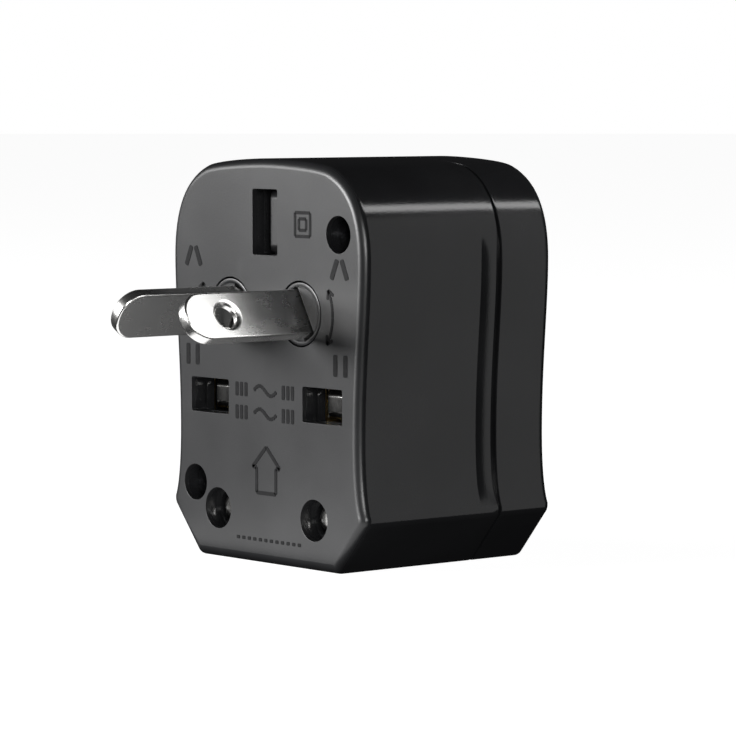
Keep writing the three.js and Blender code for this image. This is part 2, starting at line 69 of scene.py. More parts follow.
@dataclass(frozen=True)
class Datum:
    """Reference planes and lines of the adapter, read from the frame, in metres."""

    face_y: float
    seam_y: float
    front_y: float
    back_y: float
    pin_z: float

    @classmethod
    def read(cls) -> "Datum":
        """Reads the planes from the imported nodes.

        Returns:
            The reference planes.
        """
        rear_low, rear_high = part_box("rear_housing")
        front_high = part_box("front_housing")[1]
        pin_low, pin_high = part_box("uk_live_pin")
        gap = 0.4 * MM
        return cls(rear_low[1], rear_high[1], rear_high[1] + gap, front_high[1],
                   (pin_low[2] + pin_high[2]) / 2)

    def at(self, x: float, depth: float, z: float) -> Vector:
        """Returns a point from millimetres: depth from the plug face, z from the pin line."""
        return Vector((x * MM, self.face_y + depth * MM, self.pin_z + z * MM))


DATUM = Datum.read()


# ------------------------------------------------------------------ modelling by hand


class Select(Enum):
    """The kind of element that an edit-mode step works on."""

    VERT = "VERT"
    EDGE = "EDGE"
    FACE = "FACE"


class Piece:
    """A mesh that is shaped step by step with Blender's own modelling operators."""

    def __init__(self, name: str) -> None:
        """Takes the primitive that was just added and fixes its size and place in its mesh.

        Args:
            name: the piece's name.
        """
        self.obj = bpy.context.active_object
        self.obj.name = name
        self.obj.data.name = name
        self.activate()
        bpy.ops.object.transform_apply(location=True, rotation=True, scale=True)

    @staticmethod
    def clear() -> None:
        """Leaves edit mode and deselects everything."""
        if bpy.context.object and bpy.context.object.mode != "OBJECT":
            bpy.ops.object.mode_set(mode="OBJECT")
        bpy.ops.object.select_all(action="DESELECT")

    @classmethod
    def block(cls, name: str, low: Vector, high: Vector) -> "Piece":
        """Starts from a cube between two corners."""
        cls.clear()
        bpy.ops.mesh.primitive_cube_add(size=1, location=(low + high) / 2, scale=high - low)
        return cls(name)

    @classmethod
    def rod(cls, name: str, middle: Vector, radius: float, length: float, sides: int = 48) -> "Piece":
        """Starts from a cylinder along Y, with its near end at middle.

        Args:
            name: the piece's name.
            middle: centre of the end nearest the plug face.
            radius: radius in metres.
            length: length along Y in metres.
            sides: how many sides the round has.

        Returns:
            The new piece.
        """
        cls.clear()
        place = middle + Vector((0, length / 2, 0))
        bpy.ops.mesh.primitive_cylinder_add(
            vertices=sides, radius=radius, depth=length, location=place, rotation=(math.pi / 2, 0, 0))
        return cls(name)

    @classmethod
    def outline(cls, name: str, points: list[Vector]) -> "Piece":
        """Starts from a filled circle whose rim is pulled onto an outline.

        Args:
            name: the piece's name.
            points: the outline, in order.

        Returns:
            The new piece, one flat face.
        """
        cls.clear()
        bpy.ops.mesh.primitive_circle_add(vertices=len(points), radius=0.01, fill_type="NGON")
        piece = cls(name)
        for vertex, point in zip(piece.obj.data.vertices, points):
            vertex.co = point
        piece.obj.data.update()
        return piece

    def activate(self) -> None:
        """Makes this piece the only selected object."""
        self.clear()
        self.obj.select_set(True)
        bpy.context.view_layer.objects.active = self.obj

    def pick(self, kind: Select, test: Callable[..., bool]) -> int:
        """Enters edit mode and selects the elements that pass a test.

        Args:
            kind: verts, edges or faces.
            test: gets the bmesh element and says whether it is selected.

        Returns:
            How many elements are selected.
        """
        self.activate()
        bpy.ops.object.mode_set(mode="EDIT")
        bpy.ops.mesh.select_mode(type=kind.value)
        bpy.ops.mesh.select_all(action="DESELECT")
        mesh = bmesh.from_edit_mesh(self.obj.data)
        mesh.normal_update()
        groups = {Select.VERT: mesh.verts, Select.EDGE: mesh.edges, Select.FACE: mesh.faces}
        chosen = [element for element in groups[kind] if test(element)]
        for element in chosen:
            element.select_set(True)
        mesh.select_flush_mode()
        bmesh.update_edit_mesh(self.obj.data)
        return len(chosen)

    def done(self) -> "Piece":
        """Leaves edit mode."""
        bpy.ops.object.mode_set(mode="OBJECT")
        return self

    def thicken(self, *offsets: Vector) -> "Piece":
        """Extrudes a flat outline by one offset after the other and turns its faces outwards.

        Args:
            offsets: how far and which way each ring goes on from the last.

        Returns:
            This piece, a closed block.
        """
        self.pick(Select.FACE, lambda f: True)
        for offset in offsets:
            bpy.ops.mesh.extrude_region_move(TRANSFORM_OT_translate={"value": offset})
        bpy.ops.mesh.select_all(action="SELECT")
        bpy.ops.mesh.normals_make_consistent(inside=False)
        return self.done()

    def bevel_edges(self, test: Callable[..., bool], width: float, segments: int) -> "Piece":
        """Rounds the edges that pass a test.

        Args:
            test: gets the bmesh edge and says whether it is rounded.
            width: how far the rounding reaches, in metres.
            segments: how many steps it has.

        Returns:
            This piece.
        """
        if self.pick(Select.EDGE, test):
            bpy.ops.mesh.bevel(offset=width, segments=segments, profile=0.5, clamp_overlap=True)
        return self.done()

    def round_rims(self, plane_y: float, width: float, segments: int = 2) -> "Piece":
        """Rounds the edges where hole walls meet a flat face at plane_y.

        Args:
            plane_y: where the flat face lies.
            width: how far the rounding reaches, in metres.
            segments: how many steps it has.

        Returns:
            This piece.
        """
        def rim(edge: bmesh.types.BMEdge) -> bool:
            """Says whether an edge is a hole's rim on the flat face."""
            flat = all(abs(v.co.y - plane_y) < 2e-6 for v in edge.verts)
            tilts = sorted(abs(f.normal.y) for f in edge.link_faces)
            return flat and len(tilts) == 2 and tilts[0] < 0.02 and tilts[1] > 0.99
        return self.bevel_edges(rim, width, segments)

    def turn(self, degrees: float, centre: Vector) -> "Piece":
        """Turns the whole mesh about the Y line through centre, top towards +X for a plus angle.

        Args:
            degrees: how far it turns.
            centre: a point on the line.

        Returns:
            This piece.
        """
        self.pick(Select.VERT, lambda v: True)
        bpy.ops.transform.rotate(
            value=math.radians(-degrees), orient_axis="Y", orient_type="GLOBAL",
            center_override=centre)
        return self.done()

    def move_points(self, shift: Callable[[Vector], Vector]) -> "Piece":
        """Moves every point by what shift returns for it.

        Args:
            shift: gets a point and returns its offset.

        Returns:
            This piece.
        """
        for vertex in self.obj.data.vertices:
            vertex.co += shift(vertex.co)
        self.obj.data.update()
        return self

    def modify(self, kind: str, **settings: object) -> "Piece":
        """Adds a modifier with its settings and applies it.

        Args:
            kind: the modifier's type.
            settings: its properties.

        Returns:
            This piece.
        """
        self.activate()
        modifier = self.obj.modifiers.new(kind.title(), kind)
        for key, value in settings.items():
            setattr(modifier, key, value)
        bpy.ops.object.modifier_apply(modifier=modifier.name)
        return self

    def cut(self, *tools: "Piece") -> "Piece":
        """Cuts other pieces out of this one and throws them away."""
        return self._boolean("DIFFERENCE", tools)

    def join_on(self, *tools: "Piece") -> "Piece":
        """Joins other pieces onto this one and throws them away."""
        return self._boolean("UNION", tools)

    def _boolean(self, operation: str, tools: tuple["Piece", ...]) -> "Piece":
        """Runs one boolean operation for each tool.

        Args:
            operation: DIFFERENCE or UNION.
            tools: the pieces that are used up.

        Returns:
            This piece.
        """
        for tool in tools:
            self.modify("BOOLEAN", operation=operation, object=tool.obj, solver="EXACT")
            bpy.data.objects.remove(tool.obj)
        return self

    def gather(self, *others: "Piece") -> "Piece":
        """Joins separate closed bodies into this one object.

        Args:
            others: the pieces that become part of this one.

        Returns:
            This piece.
        """
        self.activate()
        for other in others:
            other.obj.select_set(True)
        bpy.ops.object.join()
        return self

    def smooth(self, degrees: float = 32) -> "Piece":
        """Shades the piece smooth between gentle faces and weights its normals by area."""
        self.activate()
        bpy.ops.object.shade_smooth_by_angle(angle=math.radians(degrees))
        return self.modify("WEIGHTED_NORMAL", mode="FACE_AREA", weight=60, keep_sharp=True)

    def hand_over(self, body: str, slot: str, *nodes: str) -> "Piece":
        """Makes the piece ride on a body and stand for CAD nodes.

        Args:
            body: the CAD body it moves with.
            slot: not used.
            nodes: the CAD nodes that it replaces.

        Returns:
            This piece.
        """
        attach(self.obj, body)
        if nodes:
            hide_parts(*nodes)
        LOG.info("%s: %d faces", self.obj.name, len(self.obj.data.polygons))
        return self


def runs_along_y(edge: bmesh.types.BMEdge) -> bool:
    """Says whether an edge runs along Y."""
    span = edge.verts[1].co - edge.verts[0].co
    return abs(span.y) > 0.99 * span.length


def crosses_x(least: float) -> Callable[[bmesh.types.BMEdge], bool]:
    """Returns a test for edges that span more than a length along X."""
    return lambda edge: abs(edge.verts[0].co.x - edge.verts[1].co.x) > least


def lies_at_y(place: float) -> Callable[[bmesh.types.BMEdge], bool]:
    """Returns a test for edges that lie in the plane at a y."""
    return lambda edge: all(abs(vertex.co.y - place) < TOUCH for vertex in edge.verts)


# ------------------------------------------------------------------ shader maths


class Value:
    """A shader socket or number that can be used in Python arithmetic."""

    def __init__(self, graph: "Graph", source: object) -> None:
        """Keeps the graph and the socket or number."""
        self.graph = graph
        self.source = source

    def _math(self, operation: str, *values: object) -> "Value":
        """Adds a Math node and returns its result."""
        settings = {"operation": operation}
        return self.graph.node("ShaderNodeMath", settings, dict(enumerate(values)))

    def __add__(self, other: object) -> "Value":
        """Adds."""
        return self._math("ADD", self, other)

    __radd__ = __add__

    def __mul__(self, other: object) -> "Value":
        """Multiplies."""
        return self._math("MULTIPLY", self, other)

    __rmul__ = __mul__

    def __sub__(self, other: object) -> "Value":
        """Subtracts."""
        return self._math("SUBTRACT", self, other)

    def __rsub__(self, other: object) -> "Value":
        """Subtracts from a number."""
        return self._math("SUBTRACT", other, self)

    def clamp(self) -> "Value":
        """Keeps the value between 0 and 1."""
        return self.graph.node("ShaderNodeClamp", {}, {0: self})

    def ramp(self, low: float, high: float) -> "Value":
        """Rises smoothly from 0 at low to 1 at high."""
        settings = {"interpolation_type": "SMOOTHSTEP"}
        return self.graph.node("ShaderNodeMapRange", settings, {0: self, 1: low, 2: high})


class Graph:
    """One material's node tree."""

    def __init__(self, name: str) -> None:
        """Starts an empty material with a Principled shader."""
        self.material = bpy.data.materials.new(name)
        self.material.use_nodes = True
        self.tree = self.material.node_tree
        self.shader = self.tree.nodes["Principled BSDF"]
        self.place = self.node("ShaderNodeTexCoord", {}, {}, "Object")

    def node(self, kind: str, settings: dict[str, object], inputs: dict[object, object],
             output: object = 0) -> Value:
        """Adds a node.

        Args:
            kind: the node's type.
            settings: its properties; "stops" holds a colour ramp's stops.
            inputs: socket name or number to a value, colour or link.
            output: the name or number of the socket that is returned.

        Returns:
            The chosen output.
        """
        new = self.tree.nodes.new(kind)
        for key, value in settings.items():
            if key == "stops":
                ramp = new.color_ramp.elements
                while len(ramp) < len(value):
                    ramp.new(0.5)
                for element, (position, colour) in zip(ramp, value):
                    element.position = position
                    element.color = (*colour, 1)
            else:
                setattr(new, key, value)
        for key, value in inputs.items():
            self.link(new.inputs[key], value)
        return Value(self, new.outputs[output])

    def link(self, socket: bpy.types.NodeSocket, value: object) -> None:
        """Feeds a socket from a link, a number or a colour.

        Args:
            socket: the socket that is fed.
            value: a value, a socket, a number or a colour.
        """
        if isinstance(value, Value):
            self.link(socket, value.source)
        elif isinstance(value, bpy.types.NodeSocket):
            self.tree.links.new(value, socket)
        else:
            socket.default_value = value

    def stretched(self, x: float, y: float, z: float) -> Value:
        """Object coordinates scaled along each axis."""
        return self.node("ShaderNodeMapping", {}, {"Vector": self.place, "Scale": (x, y, z)})

    def noise(self, scale: float, detail: float = 3, roughness: float = 0.55,
              vector: Value | None = None) -> Value:
        """Cloudy noise between about 0.3 and 0.7.

        Args:
            scale: how many clouds there are to a metre.
            detail: how many finer layers it has.
            roughness: how strong the finer layers are.
            vector: coordinates other than the object's.

        Returns:
            The noise.
        """
        inputs = {"Vector": vector or self.place, "Scale": scale, "Detail": detail,
                  "Roughness": roughness}
        return self.node("ShaderNodeTexNoise", {}, inputs, "Fac")

    def cells(self, scale: float) -> Value:
        """Distance to the nearest of many scattered points."""
        return self.node("ShaderNodeTexVoronoi", {}, {"Vector": self.place, "Scale": scale},
                         "Distance")

    def mix(self, amount: Value, first: tuple, second: tuple) -> Value:
        """Blends two colours."""
        inputs = {0: amount, 6: _rgba(first), 7: _rgba(second)}
        return self.node("ShaderNodeMix", {"data_type": "RGBA"}, inputs, 2)

    def bump(self, height: Value, distance: float, strength: float) -> None:
        """Feeds a height into the shader's normal."""
        inputs = {"Height": height, "Distance": distance, "Strength": strength}
        self.set("Normal", self.node("ShaderNodeBump", {}, inputs))

    def set(self, socket: str, value: object) -> None:
        """Sets or feeds one of the shader's sockets."""
        self.link(self.shader.inputs[socket], value)


def _rgba(colour: object) -> object:
    """Gives a plain colour its alpha."""
    return (*colour, 1) if isinstance(colour, tuple) and len(colour) == 3 else colour


# ------------------------------------------------------------------ finishes


@dataclass(frozen=True)
class MouldedPlastic:
    """Injection-moulded plastic with spark-eroded grain, faint flow marks and hairline scratches."""

    name: str
    colour: tuple[float, float, float]
    worn: tuple[float, float, float]
    roughness: float = 0.34
    grain: float = 0.5
    grain_scale: float = 5200
    specular: float = 0.5
    face_gloss: float | None = None

    def make(self) -> bpy.types.Material:
        """Builds the material.

        Returns:
            The new material.
        """
        graph = Graph(self.name)
        clouds = graph.noise(90, 4)
        flow = graph.noise(55, 3, 0.6, graph.stretched(1, 0.25, 1))
        dust = graph.cells(900).ramp(0.09, 0.02) * graph.noise(140, 2).ramp(0.52, 0.7)
        rub = graph.noise(420, 5, 0.7, graph.stretched(1, 1, 0.12)).ramp(0.6, 0.78)
        tone = (clouds.ramp(0.3, 0.75) * 0.5 + flow.ramp(0.35, 0.7) * 0.3 + rub * 0.12
                + dust * 0.35)
        graph.set("Base Color", graph.mix(tone.clamp(), self.colour, self.worn))
        polish = self.roughness + clouds * 0.06 - 0.03 + rub * 0.06 + dust * 0.15
        if self.face_gloss is not None:
            depth = graph.node("ShaderNodeSeparateXYZ", {}, {0: graph.place}, 1)
            on_face = depth.ramp(DATUM.face_y + 1.2 * MM, DATUM.face_y + 0.2 * MM)
            polish = polish + on_face * (self.face_gloss - self.roughness)
        graph.set("Roughness", polish.clamp())
        graph.set("Specular IOR Level", self.specular)
        grain = graph.noise(self.grain_scale, 2, 0.5) + graph.cells(self.grain_scale * 0.6) * 0.5
        waves = graph.noise(160, 2) * 1.5
        graph.bump(grain + waves, 0.00002, self.grain)
        return graph.material


@dataclass(frozen=True)
class PlatedMetal:
    """Bright plated metal with fine drawn lines, handling haze and small dings."""

    name: str
    colour: tuple[float, float, float]
    dull: tuple[float, float, float]
    roughness: float = 0.2
    lines: tuple[float, float, float] = (1, 0.05, 1)

    def make(self) -> bpy.types.Material:
        """Builds the material.

        Returns:
            The new material.
        """
        graph = Graph(self.name)
        haze = graph.noise(260, 4).ramp(0.35, 0.75)
        drawn = graph.noise(2600, 3, 0.6, graph.stretched(*self.lines))
        spots = graph.cells(520).ramp(0.06, 0.02) * graph.noise(180, 2).ramp(0.5, 0.66)
        tone = (haze * 0.3 + drawn.ramp(0.4, 0.7) * 0.15 + spots * 0.25).clamp()
        graph.set("Base Color", graph.mix(tone, self.colour, self.dull))
        graph.set("Metallic", 1.0)
        polish = self.roughness + haze * 0.05 + drawn * 0.06 + spots * 0.1 - 0.05
        graph.set("Roughness", polish.clamp())
        graph.bump(drawn - spots * 0.5, 0.000004, 0.35)
        return graph.material


@dataclass(frozen=True)
class LensPlastic:
    """Clear coloured lens with moulded facets inside."""

    name: str
    colour: tuple[float, float, float]

    def make(self) -> bpy.types.Material:
        """Builds the material.

        Returns:
            The new material.
        """
        graph = Graph(self.name)
        facets = graph.cells(2600)
        bright = tuple(min(1.0, part * 1.7 + 0.02) for part in self.colour)
        graph.set("Base Color", graph.mix(facets.ramp(0.1, 0.6), bright, self.colour))
        graph.set("Roughness", (graph.noise(800, 3) * 0.2 + 0.03).clamp())
        graph.set("Coat Weight", 0.6)
        graph.bump(facets, 0.00004, 0.4)
        return graph.material


@dataclass(frozen=True)
class PrintInk:
    """Pad-printed dark ink with thin spots."""

    name: str
    colour: tuple[float, float, float]

    def make(self) -> bpy.types.Material:
        """Builds the material.

        Returns:
            The new material.
        """
        graph = Graph(self.name)
        thin = graph.noise(1400, 4, 0.7).ramp(0.45, 0.75)
        paler = tuple(part * 2.2 for part in self.colour)
        graph.set("Base Color", graph.mix(thin, self.colour, paler))
        graph.set("Roughness", (graph.noise(2400, 3) * 0.3 + 0.35).clamp())
        graph.set("Specular IOR Level", 0.12)
        graph.bump(graph.noise(4200, 2), 0.00001, 0.4)
        return graph.material


CASE = MouldedPlastic("case_plastic", (0.010, 0.0103, 0.011), (0.018, 0.0183, 0.0195), 0.15,
                      grain=0.25, specular=0.45, face_gloss=0.36)
COLLAR = MouldedPlastic("collar_plastic", (0.011, 0.0113, 0.012), (0.019, 0.0193, 0.0205), 0.34,
                        specular=0.45)
NYLON = MouldedPlastic("inner_nylon", (0.006, 0.006, 0.0065), (0.011, 0.011, 0.012), 0.5)
SOCKET = MouldedPlastic("socket_plastic", (0.012, 0.012, 0.013), (0.022, 0.022, 0.024), 0.42, 0.8)
KNOB = MouldedPlastic("knob_plastic", (0.36, 0.37, 0.38), (0.45, 0.455, 0.46), 0.4)
NICKEL = PlatedMetal("nickel_plate", (0.83, 0.825, 0.81), (0.62, 0.61, 0.59), 0.27)
# The pin nickel is a darker copy of the blade nickel, so that the pins read dark inside their openings:
# painted shade.
SHADE_DARKENED_PIN_NICKEL = PlatedMetal("pin_nickel_painted_shade", (0.46, 0.456, 0.445), (0.34, 0.335, 0.325), 0.16)
BRASS = PlatedMetal("stamped_brass", (0.55, 0.42, 0.2), (0.34, 0.24, 0.1), 0.3)
STEEL = PlatedMetal("zinc_steel", (0.62, 0.63, 0.65), (0.4, 0.41, 0.43), 0.3, (1, 1, 0.05))
LENS = LensPlastic("indicator_red", (0.34, 0.012, 0.008))
INK = PrintInk("mark_ink", (0.0045, 0.0045, 0.005))


class Finishes:
    """The made materials, one for each finish."""

    def __init__(self) -> None:
        """Makes every finish once."""
        self.made = {spec.name: spec.make() for spec in
                     (CASE, COLLAR, NYLON, SOCKET, KNOB, NICKEL, SHADE_DARKENED_PIN_NICKEL, BRASS, STEEL, LENS, INK)}

    def dress(self, obj: bpy.types.Object, spec: object) -> None:
        """Puts one finish on an object's material slots.

        Args:
            obj: the object.
            spec: the finish.
        """
        material = self.made[spec.name]
        if not obj.material_slots:
            obj.data.materials.append(material)
        for material_slot in obj.material_slots:
            material_slot.material = material


# ------------------------------------------------------------------ housing


@dataclass(frozen=True)
class CaseOutline:
    """Half outline of the case seen along Y, in millimetres from the pin line."""

    base_z: float = -20.5
    top_z: float = 30.1
    base_half: float = 13.8
    foot_half: float = 19.1
    foot_z: float = -14.2
    waist_half: float = 18.0
    waist_z: float = -4.0
    shoulder_half: float = 19.05
    shoulder_z: float = 17.5
    corner: Flat = (12.3, 29.1)
    steps: int = 16

    def pulled_in(self, inset: float) -> "CaseOutline":
        """Returns the outline pulled in by an inset, for the hollow and the seam lip.

        Args:
            inset: how far it is pulled in.

        Returns:
            The smaller outline, with fewer steps.
        """
        share = 0.45 * inset
        return CaseOutline(
            self.base_z + inset, self.top_z - inset, self.base_half - share,
            self.foot_half - inset, self.foot_z + share, self.waist_half - inset, self.waist_z,
            self.shoulder_half - inset, self.shoulder_z,
            (self.corner[0] - 0.4 * inset, self.corner[1] - 0.9 * inset), 8)

    def half(self) -> list[Flat]:
        """Returns the right half from the base's corner to the crown.

        Returns:
            Points as (x, z), with four Bezier spans after the two soft foot corners.
        """
        foot_top = self.foot_z + 0.9
        spans = [
            [(self.foot_half, foot_top), (self.foot_half - 0.8, self.foot_z + 2.7),
             (self.waist_half, self.foot_z + 6.2), (self.waist_half, self.waist_z)],
            [(self.waist_half, self.waist_z), (self.waist_half, self.waist_z + 8.5),
             (self.shoulder_half, self.shoulder_z - 6), (self.shoulder_half, self.shoulder_z)],
            [(self.shoulder_half, self.shoulder_z), (self.shoulder_half, self.shoulder_z + 5.5),
             (self.corner[0] + 4.9, self.corner[1] - 1.8), self.corner],
            [self.corner, (self.corner[0] - 1.8, self.corner[1] + 0.67), (3.0, self.top_z),
             (0.0, self.top_z)],
        ]
        points = [*self._soft_corner((self.base_half - 4, self.base_z), (self.base_half, self.base_z),
                                     (self.foot_half, self.foot_z)),
                  *self._soft_corner((self.base_half, self.base_z), (self.foot_half, self.foot_z),
                                     (self.foot_half, foot_top))]
        for span in spans:
            corners = [Vector((x, z)) for x, z in span]
            curve = interpolate_bezier(*corners, self.steps)
            points += [(point.x, point.y) for point in curve[:-1]]
        return points

    @staticmethod
    def _soft_corner(before: Flat, corner: Flat, after: Flat) -> list[Flat]:
        """Replaces a corner by a small arc.

        Args:
            before: the point before the corner.
            corner: the corner.
            after: the point after the corner.

        Returns:
            The arc's points.
        """
        middle = Vector(corner)
        start = middle + (Vector(before) - middle).normalized() * CORNER_REACH
        end = middle + (Vector(after) - middle).normalized() * CORNER_REACH
        curve = interpolate_bezier(start, (start + middle) / 2, (end + middle) / 2, end, 4)
        return [(point.x, point.y) for point in curve]

    def loop(self) -> list[Flat]:
        """Returns the whole closed outline, counter-clockwise seen from the plug side."""
        right = self.half()
        left = [(-x, z) for x, z in reversed(right)]
        return [*right, (0.0, self.top_z), *left]


@dataclass
class Openings:
    """Sizes of the openings in the plug face, in millimetres from the pin line."""

    uk_x: float = 11.1
    uk_size: Flat = (7.6, 4.4)
    earth_z: float = 22.2
    earth_size: Flat = (4.9, 8.2)
    eu: Flat = (9.5, -14.2)
    eu_radius: float = 2.6
    blade: Flat = (6.85, 11.1)
    collar_radius: float = 4.1
    screws: tuple[Flat, Flat] = ((14.2, 21.03), (-14.15, -11.25))
    screw_radius: float = 2.3
    uk_guide: Flat = (6.65, 4.3)
    earth_guide: Flat = (4.3, 8.15)
    eu_guide: Flat = (4.3, 4.3)

    def slot(self, x: float, z: float, size: Flat) -> Piece:
        """Makes the cutter of a rectangular opening with soft corners.

        Args:
            x: its middle, to the right.
            z: its middle, above the pin line.
            size: its width and height.

        Returns:
            The cutter.
        """
        half_w, half_h = size[0] / 2, size[1] / 2
        low = DATUM.at(x - half_w, -1, z - half_h)
        high = DATUM.at(x + half_w, 4, z + half_h)
        cutter = Piece.block("cutter", low, high)
        return cutter.bevel_edges(runs_along_y, 0.25 * MM, 3)

    def cutters(self) -> list[Piece]:
        """Makes the cutters of all openings.

        Returns:
            The cutters.
        """
        tools = [self.slot(0, self.earth_z, self.earth_size)]
        for side in (-1, 1):
            tools.append(self.slot(side * self.uk_x, 0, self.uk_size))
            tools.append(_bore(side * self.eu[0], self.eu[1], self.eu_radius))
            tools.append(_bore(side * self.blade[0], self.blade[1], self.collar_radius, 64))
        for x, z in self.screws:
            tools.append(_bore(x, z, self.screw_radius, depth=6))
        return tools


def _bore(x: float, z: float, radius: float, sides: int = 48, depth: float = 4) -> Piece:
    """Makes the cutter of a round hole from in front of the plug face to a depth.

    Args:
        x: its middle, to the right.
        z: its middle, above the pin line.
        radius: its radius, in millimetres.
        sides: how many sides the round has.
        depth: how far it reaches behind the plug face.

    Returns:
        The cutter.
    """
    return Piece.rod("cutter", DATUM.at(x, -1, z), radius * MM, (depth + 1) * MM, sides)


@dataclass
class Case:
    """The two housings with their seam, openings and slider bay."""

    finishes: Finishes
    outline: CaseOutline
    openings: Openings
    wall: float = 1.9
    face_wall: float = 2.2
    rear_edge: float = 1.25
    rear_seam: float = 0.12
    front_edge: float = 1.8
    front_seam: float = 0.18
    ridge_depth: float = 18.9
    ridge_drop: float = 0.36
    scoop: float = 0.42
    scoop_end: float = 22.1
    scoop_span: Flat = (-13.4, 22.5)
    boss_radius: float = 2.95
    shank_radius: float = 1.4
    bay_floor: float = 17.1
    bay_span: tuple[float, float, float, float] = (2.4, 29.0, -9.3, 16.7)
    knob_heights: tuple[float, float, float] = (13.3, 3.4, -5.9)
    slot_half: float = 1.4
    guide_wall: float = 1.3
    guide_end: float = 3.3

    def build(self) -> None:
        """Builds and dresses both housings."""
        rear = self._rear()
        front = self._front()
        for piece, node in ((rear, "rear_housing"), (front, "front_housing")):
            self.finishes.dress(piece.obj, CASE)
            piece.hand_over("housing", "case", node)

    def _start(self, name: str, depth: float, stations: list[float], inset: float = 0) -> Piece:
        """Starts a shape from the outline at a depth and extrudes it through stations.

        Args:
            name: the piece's name.
            depth: where it starts, from the plug face.
            stations: where each further ring lies.
            inset: how far the outline is pulled in.

        Returns:
            The new closed block.
        """
        outline = self.outline.pulled_in(inset) if inset else self.outline
        points = [DATUM.at(x, depth, z) for x, z in outline.loop()]
        steps = [after - before for before, after in zip([depth, *stations], stations)]
        return Piece.outline(name, points).thicken(*(Vector((0, step * MM, 0)) for step in steps))

    def _scooped(self, point: Vector) -> Vector:
        """Pulls the sides in behind the ridge, fading out towards the top and the foot.

        Args:
            point: a point of the rear shell.

        Returns:
            How far the point moves.
        """
        depth = (point.y - DATUM.face_y) / MM
        height = (point.z - DATUM.pin_z) / MM
        start = self.ridge_depth + self.ridge_drop - 0.01
        if depth < start - 1e-3 or abs(point.x) < 17 * MM or depth > self.scoop_end:
            return Vector((0, 0, 0))
        foot, crown = self.scoop_span
        fade = _ease((height - foot) / 3) * _ease((crown - height) / 5)
        share = min(1.0, (depth - start) / 1.2 + 0.25)
        return Vector((-math.copysign(self.scoop * MM * fade * share, point.x), 0, 0))

    def _rear(self) -> Piece:
        """Builds the deep shell with the plug face.

        Returns:
            The finished shell.
        """
        seam = (DATUM.seam_y - DATUM.face_y) / MM
        ridge = self.ridge_depth
        stations = [10, ridge, ridge + self.ridge_drop, ridge + 1.7, seam]
        piece = self._start("rear_shell", 0, stations)
        piece.move_points(self._scooped)
        piece.bevel_edges(lies_at_y(DATUM.face_y), self.rear_edge * MM, 6)
        piece.bevel_edges(lies_at_y(DATUM.seam_y), self.rear_seam * MM, 2)
        piece.cut(self._start("cutter", self.face_wall, [seam + 1], self.wall))
        piece.cut(*self.openings.cutters()).cut(*self._bay_cutters())
        piece.round_rims(DATUM.face_y, 0.16 * MM, 2)
        bosses = [self._boss(x, z) for x, z in self.openings.screws]
        return piece.gather(*bosses, *self._guides()).smooth()

    def _guides(self) -> list[Piece]:
        """Builds the short walls behind the plug face that guide the pins.

        Returns:
            One closed wall for each pin.
        """
        openings = self.openings
        spots = [(0, openings.earth_z, openings.earth_guide)]
        spots += [(side * openings.uk_x, 0, openings.uk_guide) for side in (-1, 1)]
        spots += [(side * openings.eu[0], openings.eu[1], openings.eu_guide) for side in (-1, 1)]
        guides = []
        for x, z, (width, height) in spots:
            half_w, half_h = width / 2 + self.guide_wall, height / 2 + self.guide_wall
            wall = Piece.block("guide", DATUM.at(x - half_w, self.face_wall - 0.1, z - half_h),
                               DATUM.at(x + half_w, self.guide_end, z + half_h))
            wall.bevel_edges(runs_along_y, 0.6 * MM, 3)
            if width == height:
                wall.cut(_bore(x, z, width / 2))
            else:
                wall.cut(openings.slot(x, z, (width, height)))
            guides.append(wall)
        return guides

    def _boss(self, x: float, z: float) -> Piece:
        """Builds one screw boss, a tube behind the plug face with a shelf for the screw head.

        Args:
            x: its middle, to the right.
            z: its middle, above the pin line.

        Returns:
            The boss.
        """
        root = DATUM.at(x, self.face_wall - 0.1, z)
        boss = Piece.rod("boss", root, self.boss_radius * MM, 5.8 * MM)
        head = Piece.rod("cutter", DATUM.at(x, 0, z), self.openings.screw_radius * MM, 6 * MM)
        shank = Piece.rod("cutter", DATUM.at(x, 3, z), self.shank_radius * MM, 8 * MM, 24)
        return boss.cut(head, shank)

    def _front(self) -> Piece:
        """Builds the shallow shell with the socket opening.

        Returns:
            The finished shell.
        """
        start = (DATUM.front_y - DATUM.face_y) / MM
        back = (DATUM.back_y - DATUM.face_y) / MM
        piece = self._start("front_shell", start, [start + 3, back])
        piece.bevel_edges(lies_at_y(DATUM.back_y), self.front_edge * MM, 7)
        piece.bevel_edges(lies_at_y(DATUM.front_y), self.front_seam * MM, 2)
        piece.cut(self._start("cutter", start - 1, [back - self.face_wall], self.wall))
        socket_hole = SocketFace.panel("cutter", 0, back - 4, back + 1)
        lens_place = DATUM.at(0, back - 4, SocketFace.lens_z)
        lens_hole = Piece.rod("cutter", lens_place, SocketFace.lens_hole * MM, 5 * MM, 32)
        piece.cut(socket_hole, lens_hole, *self._bay_cutters())
        piece.round_rims(DATUM.back_y, 0.25 * MM, 3)
        return piece.gather(self._lip(start)).smooth()

    def _lip(self, start: float) -> Piece:
        """Builds the narrow lip that closes the seam groove from inside.

        Args:
            start: where the front shell starts, from the plug face.

        Returns:
            The lip.
        """
        lip = self._start("lip", start - 0.38, [start + 1], 0.6)
        lip.cut(self._start("cutter", start - 1, [start + 2], 1.4))
        return lip.cut(*self._bay_cutters())

    def _bay_cutters(self) -> list[Piece]:
        """Makes the cutters of the slider bay and its three slots.

        Returns:
            The cutters.
        """
        y0, y1, z0, z1 = self.bay_span
        bay = Piece.block("cutter", DATUM.at(-22, y0, z0), DATUM.at(-self.bay_floor, y1, z1))
        bay.bevel_edges(crosses_x(3 * MM), 1.6 * MM, 5)
        slots = []
        for height in self.knob_heights:
            low = DATUM.at(-20, 4.8, height - self.slot_half)
            high = DATUM.at(-13, 28.4, height + self.slot_half)
            slot = Piece.block("cutter", low, high)
            slot.bevel_edges(crosses_x(3 * MM), 1.2 * MM, 5)
            slots.append(slot)
        return [bay, *slots]


